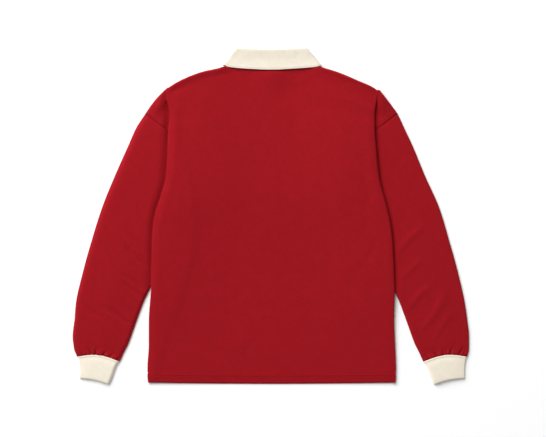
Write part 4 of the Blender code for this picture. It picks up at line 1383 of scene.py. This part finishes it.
def cuff_rows(side):
    """The rings of one cuff, from the sleeve to its end."""
    widest = 2 * math.dist(cuff_edge("outer_" + side, "outer_y", 0), cuff_edge("inner", "inner_y", 0))
    rows = []
    for down in CUFF_RINGS:
        outer = cuff_edge("outer_" + side, "outer_y", down)
        outer = Place(outer.x, outer.y - CUFF_GAP)
        inner = cuff_edge("inner", "inner_y", down)
        inner = Place(inner.x, inner.y - CUFF_GAP)
        width = math.dist(outer, inner)
        arch = lerp(SLEEVE_END_ARCH, CUFF_END_ARCH, down)
        ring = []
        for across, z, share in tube_section(width, RIB, SLEEVE_ROLL, CUFF_TOPS, CUFF_BOTTOMS):
            place = blend(outer, inner, across / width)
            if share is not None:
                full = settled(share * width, CUFF_OUTER_REACH)
                full *= settled((1 - share) * width, CUFF_INNER_REACH)
                z += CUFF_FULLNESS * full * lerp(CUFF_TOP_SHARE, 1.0, smooth_step(down / CUFF_TOP_FADE))
            ring.append((SIGNS[side] * place.x, place.y + arch * math.sin(math.pi * across / width), z))
        rows.append(with_places(ring, down * CUFF_LENGTH, scale=widest / (2 * width)))
    return rows


for side in SIDES:
    cuff = cloth(f"cuff_{side}_tube", cuff_rows(side), RIB, CUFF_RIB_PAINTED_LIGHTER, closed=True, relief=cuff_relief)
    worn(cuff, [f"cuff_{side}"])

# %% [markdown]
# The collar is one strip of rib, knitted to its shape with no fold seam. It stands up from the neck,
# rolls over and falls to its free edge, and at each side of the neck the whole strip turns down to the
# front. Columns of points cross it from the neck's seam to the free edge.

# %% The collar
STAND_FRONT_Z = 3.6
LEAF_Z = RIB / 2
STAND_BACK_Z = BACK_Z + BACK_LIFT
FALL_Z = STAND_BACK_Z + RIB + LAYER_GAP
COLLAR_SEAM_BACK = rows_of(Place, (0, 333.4), (60, 334.6), (104, 339))
COLLAR_ROLL_BACK = rows_of(Place, (0, 375.2), (45, 376.6), (81, 378.6))
COLLAR_EDGE_BACK = {
    -1: rows_of(Place,
        (0, 329.2), (12, 329.25), (42, 330.6), (71, 332.4), (94, 335.0),
        (111.5, 339.4),
    ),
    1: rows_of(Place,
        (0, 329.2), (12, 329.3), (42, 331.0), (71, 332.8), (92, 334.6),
        (114.0, 337.8),
    ),
}
COLLAR_ROLL_END = Place(14, 292)
COLLAR_SEAM_END = Place(17.4, 265.5)
COLLAR_TIP = Place(62, 222)
SIDE_SLOPE = 0.8
COLLAR_STEP = 0.85
COLLAR_ROLL_STEPS = 8
STAND_STEPS = 8
COLLAR_BACK_SHARE = 0.9
COLLAR_TURN_STEP = 12
FALL_DISTANCES = (
    42.0, 37.0, 32.0, 27.0, 22.0, 17.0, 13.0, 10.0, 8.0, 6.6, 5.9, 5.3, 4.7, 4.1, 3.4, 2.6, 1.8, 1.1,
    0.5, 0.0,
)
FALL_SHARE = 0.98
EDGE_WELT = 0.35
EDGE_WELT_PLACE = 4.9
EDGE_RISE = 2.0
EDGE_RISE_REACH = 26.0
COLLAR_CREASE_INSET = 9.0
COLLAR_RIB_SHARE = 0.6
COLLAR_RIB_START = 6.2
COLLAR_RIB_FADE = 1.5
COLLAR_CREASES = rows_of(Crease,
    (-38, 366, -8, 344, 12, 0.5), (64, 372, 52, 350, 9, 0.45),
    (-78, 370, -86, 350, 10, 0.3),
)


def quarter_curve(start, end, share):
    """A quarter of an ellipse, which leaves its start downwards and reaches its end sideways."""
    angle = math.radians(90 * share)
    return Place(lerp(end.x, start.x, math.cos(angle)), lerp(start.y, end.y, math.sin(angle)))


def collar_column(seam, roll, edge, turn, sign):
    """Points (x, y, z, v) across the collar at one place along it, its fall turned about the neck."""
    middle_z = (FALL_Z + LEAF_Z) / 2
    stand_out = (STAND_BACK_Z - STAND_FRONT_Z) / 2
    fall_out = (FALL_Z - LEAF_Z) / 2
    up, out = math.cos(math.radians(turn)), math.sin(math.radians(turn))
    length = math.dist(seam, roll)
    along = ((roll.x - seam.x) / length, (roll.y - seam.y) / length)
    radius = (fall_out - stand_out) / 2
    crest = Place(roll.x - along[0] * (radius + RIB / 2), roll.y - along[1] * (radius + RIB / 2))
    fall = math.dist(crest, edge)

    def point(place, offset, v):
        return place.x + offset * out / SIDE_SLOPE, place.y, middle_z + offset * up, v

    over = math.pi * radius
    column = [
        point(blend(seam, crest, i / STAND_STEPS), stand_out, fall + over + (1 - i / STAND_STEPS) * length)
        for i in range(STAND_STEPS)
    ]
    for i in range(COLLAR_ROLL_STEPS + 1):
        angle = math.pi * i / COLLAR_ROLL_STEPS
        ahead = radius * math.sin(angle)
        place = Place(crest.x + along[0] * ahead, crest.y + along[1] * ahead)
        offset = (stand_out + fall_out) / 2 - radius * math.cos(angle)
        column.append(point(place, offset, fall + over * (1 - i / COLLAR_ROLL_STEPS)))
    for distance in FALL_DISTANCES:
        v = distance
        if fall < FALL_DISTANCES[0]:
            v = min(distance, FALL_SHARE * fall * distance / FALL_DISTANCES[0])
        edge_rise = EDGE_RISE * (1 - smooth_step(v / EDGE_RISE_REACH)) * max(up, 0.0)
        x, y, z, v = point(blend(edge, crest, v / fall), fall_out + edge_rise, v)
        if turn == 0:
            inside = smooth_step(v / COLLAR_CREASE_INSET)
            crease = crease_relief(COLLAR_CREASES, sign * x, y)
            z += crease * inside * smooth_step((fall - v) / COLLAR_CREASE_INSET)
        column.append((x, y, z, v))
    return column


def collar_columns(sign):
    """The collar's columns from the middle of the back to one front end."""
    lines = (COLLAR_SEAM_BACK, COLLAR_ROLL_BACK, COLLAR_EDGE_BACK[sign])
    tracks = [track_through(places) for places in lines]
    inset = ((FALL_Z - LEAF_Z) / 2 + RIB / 2) / SIDE_SLOPE
    seam, roll, edge = [Place(track(1.0).x - inset, track(1.0).y) for track in tracks]
    columns = []
    for share in finer((0.0, COLLAR_BACK_SHARE), COLLAR_STEP / COLLAR_SEAM_BACK[-1].x):
        columns.append(collar_column(*[track(share) for track in tracks], 0, sign))
    for turn in finer((0, 180), COLLAR_TURN_STEP):
        columns.append(collar_column(seam, roll, edge, turn, sign))
    for share in finer((0.02, 1.0), COLLAR_STEP / math.dist(seam, COLLAR_SEAM_END)):
        columns.append(
            collar_column(
                quarter_curve(seam, COLLAR_SEAM_END, share), quarter_curve(roll, COLLAR_ROLL_END, share),
                blend(edge, COLLAR_TIP, share), 180, sign,
            )
        )
    return columns


def collar_rows():
    """Rows along the collar, from the seam to the free edge, each point with its place on the cloth."""
    halves = []
    for sign in (-1, 1):
        columns = collar_columns(sign)
        runs = runs_along([column[-1][:3] for column in columns])
        halves.append([
            [(sign * x, y, z, sign * run, v) for x, y, z, v in column] for run, column in zip(runs, columns)
        ])
    columns = halves[0][:0:-1] + halves[1]
    return [list(row) for row in zip(*columns)]


def collar_relief(u, v):
    """The rib's wales, and the raised line of the welt above the free edge."""
    fade = smooth_step((v - COLLAR_RIB_START) / COLLAR_RIB_FADE)
    welt = EDGE_WELT * bell(v - EDGE_WELT_PLACE, 1.0)
    return COLLAR_RIB_SHARE * RIB_DEPTH * fade * math.cos(2 * math.pi * u / RIB_PITCH) + welt


collar = cloth("collar_strip", collar_rows(), RIB, COLLAR_RIB, relief=collar_relief)
worn(
    collar, ["collar"]
)

# %% [markdown]
# Under the shirt lie the placket and its buttons. The two strips are cut cloth with stitched edges, and
# each button is a turned disc with a dished face and four holes, fastened by crossed thread.

# %% The placket
PLACKET_OVER_TOP = 262.0
PLACKET_UNDER_TOP = 258.0
BUTTON_ROOM = 0.3
PLACKET_OVER_Z = BUTTON_THICKNESS + BUTTON_ROOM + PLACKET_CLOTH / 2
PLACKET_UNDER_Z = PLACKET_OVER_Z + PLACKET_CLOTH + SEAM_GAP
PLACKET_STEP = 1.4
STITCH_RIDGE = 0.25
STITCH_RIDGE_WIDTH = 0.9
STITCH_INSET_SIDES = 2.5
STITCH_INSET_END = 3.0


def strip(name, node, width, top, bottom, height):
    """One strip of the placket, whose edges are turned in and stitched down."""
    xs = finer((-width / 2, width / 2), PLACKET_STEP)
    ys = finer((top, bottom), 2 * PLACKET_STEP)
    rows = [[(x, y, height, x, y) for x in xs] for y in ys]

    def stitched(u, v):
        sides = STITCH_RIDGE * bell(abs(u) - width / 2 + STITCH_INSET_SIDES, STITCH_RIDGE_WIDTH)
        return sides + STITCH_RIDGE * bell(v - bottom - STITCH_INSET_END, STITCH_RIDGE_WIDTH)

    piece = cloth(name, rows, PLACKET_CLOTH, RED_JERSEY, relief=stitched)
    worn(piece, [node])


strip(
    "placket_strip_over", "placket_over", PLACKET_WIDTH - 2 * SEAM_GAP, PLACKET_OVER_TOP,
    PLACKET_BOTTOM + 1.0, PLACKET_OVER_Z,
)
strip(
    "placket_strip_under", "placket_under", PLACKET_WIDTH + 4.0, PLACKET_UNDER_TOP,
    PLACKET_BOTTOM - 3.0, PLACKET_UNDER_Z,
)

# %% [markdown]
# Horn-coloured buttons have a soft gloss and faint clouds through the material.

# %% Button material
CLOUDS = (260.0, 3.0)
HORN_ROUGHNESS = 0.32
HORN_COAT = 0.3


def button_material():
    """Pale horn with faint clouds and a soft gloss."""
    material = bpy.data.materials.new("button_horn")
    material.use_nodes = True
    tree = material.node_tree
    shader = tree.nodes["Principled BSDF"]
    place = tree.nodes.new("ShaderNodeTexCoord").outputs["Object"]
    colour = colour_mix(tree, noise(tree, place, *CLOUDS), (206, 190, 160), (240, 231, 212))
    tree.links.new(colour, shader.inputs["Base Color"])
    shader.inputs["Roughness"].default_value = HORN_ROUGHNESS
    shader.inputs["Coat Weight"].default_value = HORN_COAT
    return material


BUTTON_HORN = button_material()
print("material:", BUTTON_HORN.name)

# %% Buttons
BUTTON_SIDES = 48
HOLE_RADIUS = 0.9
HOLE_RING = 1.7
HOLE_SIDES = 20
DRILL_LENGTH = 6.0
RIM_WIDTH = 1.2
DISH_SLOPE_WIDTH = 0.8
DISH_DEPTH = 0.6
RIM_BEVEL = 0.45
RIM_BEVEL_STEPS = 3
RIM_ANGLE = 40
BUTTON_SMOOTHING = 35
THREAD_RISE = 0.1


def make_button(number, y):
    """A disc shaped in edit mode: its face is inset and dished, its rim rounded, and four holes are cut."""
    bpy.ops.object.select_all(action="DESELECT")
    centre = (-MIDDLE_X * MM, (y - MIDDLE_Y) * MM, BUTTON_THICKNESS / 2 * MM)
    bpy.ops.mesh.primitive_cylinder_add(
        vertices=BUTTON_SIDES, radius=BUTTON_RADIUS * MM, depth=BUTTON_THICKNESS * MM, location=centre
    )
    button = bpy.context.object
    button.name = f"button_{number}_disc"
    bpy.ops.object.transform_apply(location=True, rotation=True, scale=True)
    lowest = min(button.data.polygons, key=lambda face: face.center.z)
    for face in button.data.polygons:
        face.select = face == lowest
    bpy.ops.object.mode_set(mode="EDIT")
    bpy.ops.mesh.select_mode(type="FACE")
    bpy.ops.mesh.inset(thickness=RIM_WIDTH * MM)
    bpy.ops.mesh.inset(thickness=DISH_SLOPE_WIDTH * MM)
    bpy.ops.transform.translate(value=(0, 0, DISH_DEPTH * MM))
    bpy.ops.object.mode_set(mode="OBJECT")
    rounded = button.modifiers.new("rounded", "BEVEL")
    rounded.width = RIM_BEVEL * MM
    rounded.segments = RIM_BEVEL_STEPS
    rounded.limit_method = "ANGLE"
    rounded.angle_limit = math.radians(RIM_ANGLE)
    bpy.ops.object.modifier_apply(modifier="rounded")
    for corner in range(4):
        angle = math.radians(45 + 90 * corner)
        hole_x = centre[0] + HOLE_RING * MM * math.cos(angle)
        hole_y = centre[1] + HOLE_RING * MM * math.sin(angle)
        bpy.ops.object.select_all(action="DESELECT")
        bpy.ops.mesh.primitive_cylinder_add(
            vertices=HOLE_SIDES, radius=HOLE_RADIUS * MM, depth=DRILL_LENGTH * MM,
            location=(hole_x, hole_y, centre[2]),
        )
        drill = bpy.context.object
        cut = button.modifiers.new("hole", "BOOLEAN")
        cut.object = drill
        take(button)
        bpy.ops.object.modifier_apply(modifier="hole")
        bpy.data.objects.remove(drill, do_unlink=True)
    bpy.ops.object.shade_smooth_by_angle(angle=math.radians(BUTTON_SMOOTHING))
    button.data.materials.clear()
    button.data.materials.append(BUTTON_HORN)
    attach(button, "root")
    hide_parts(f"button_{number}")
    print(button.name, "has", len(button.data.polygons), "faces")
    bars = []
    for angle in (45, 135):
        bar = thread_bar(f"button_{number}_thread", 2 * HOLE_RING)
        bar.rotation_euler.z = math.radians(angle)
        bar.location = (centre[0], centre[1], (DISH_DEPTH - THREAD_WIDTH / 2 + THREAD_RISE) * MM)
        bars.append(bar)
    thread = joined(bars[0], bars[1:])
    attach(thread, "root")


for number, y in enumerate(BUTTON_YS, 1):
    make_button(number, y)
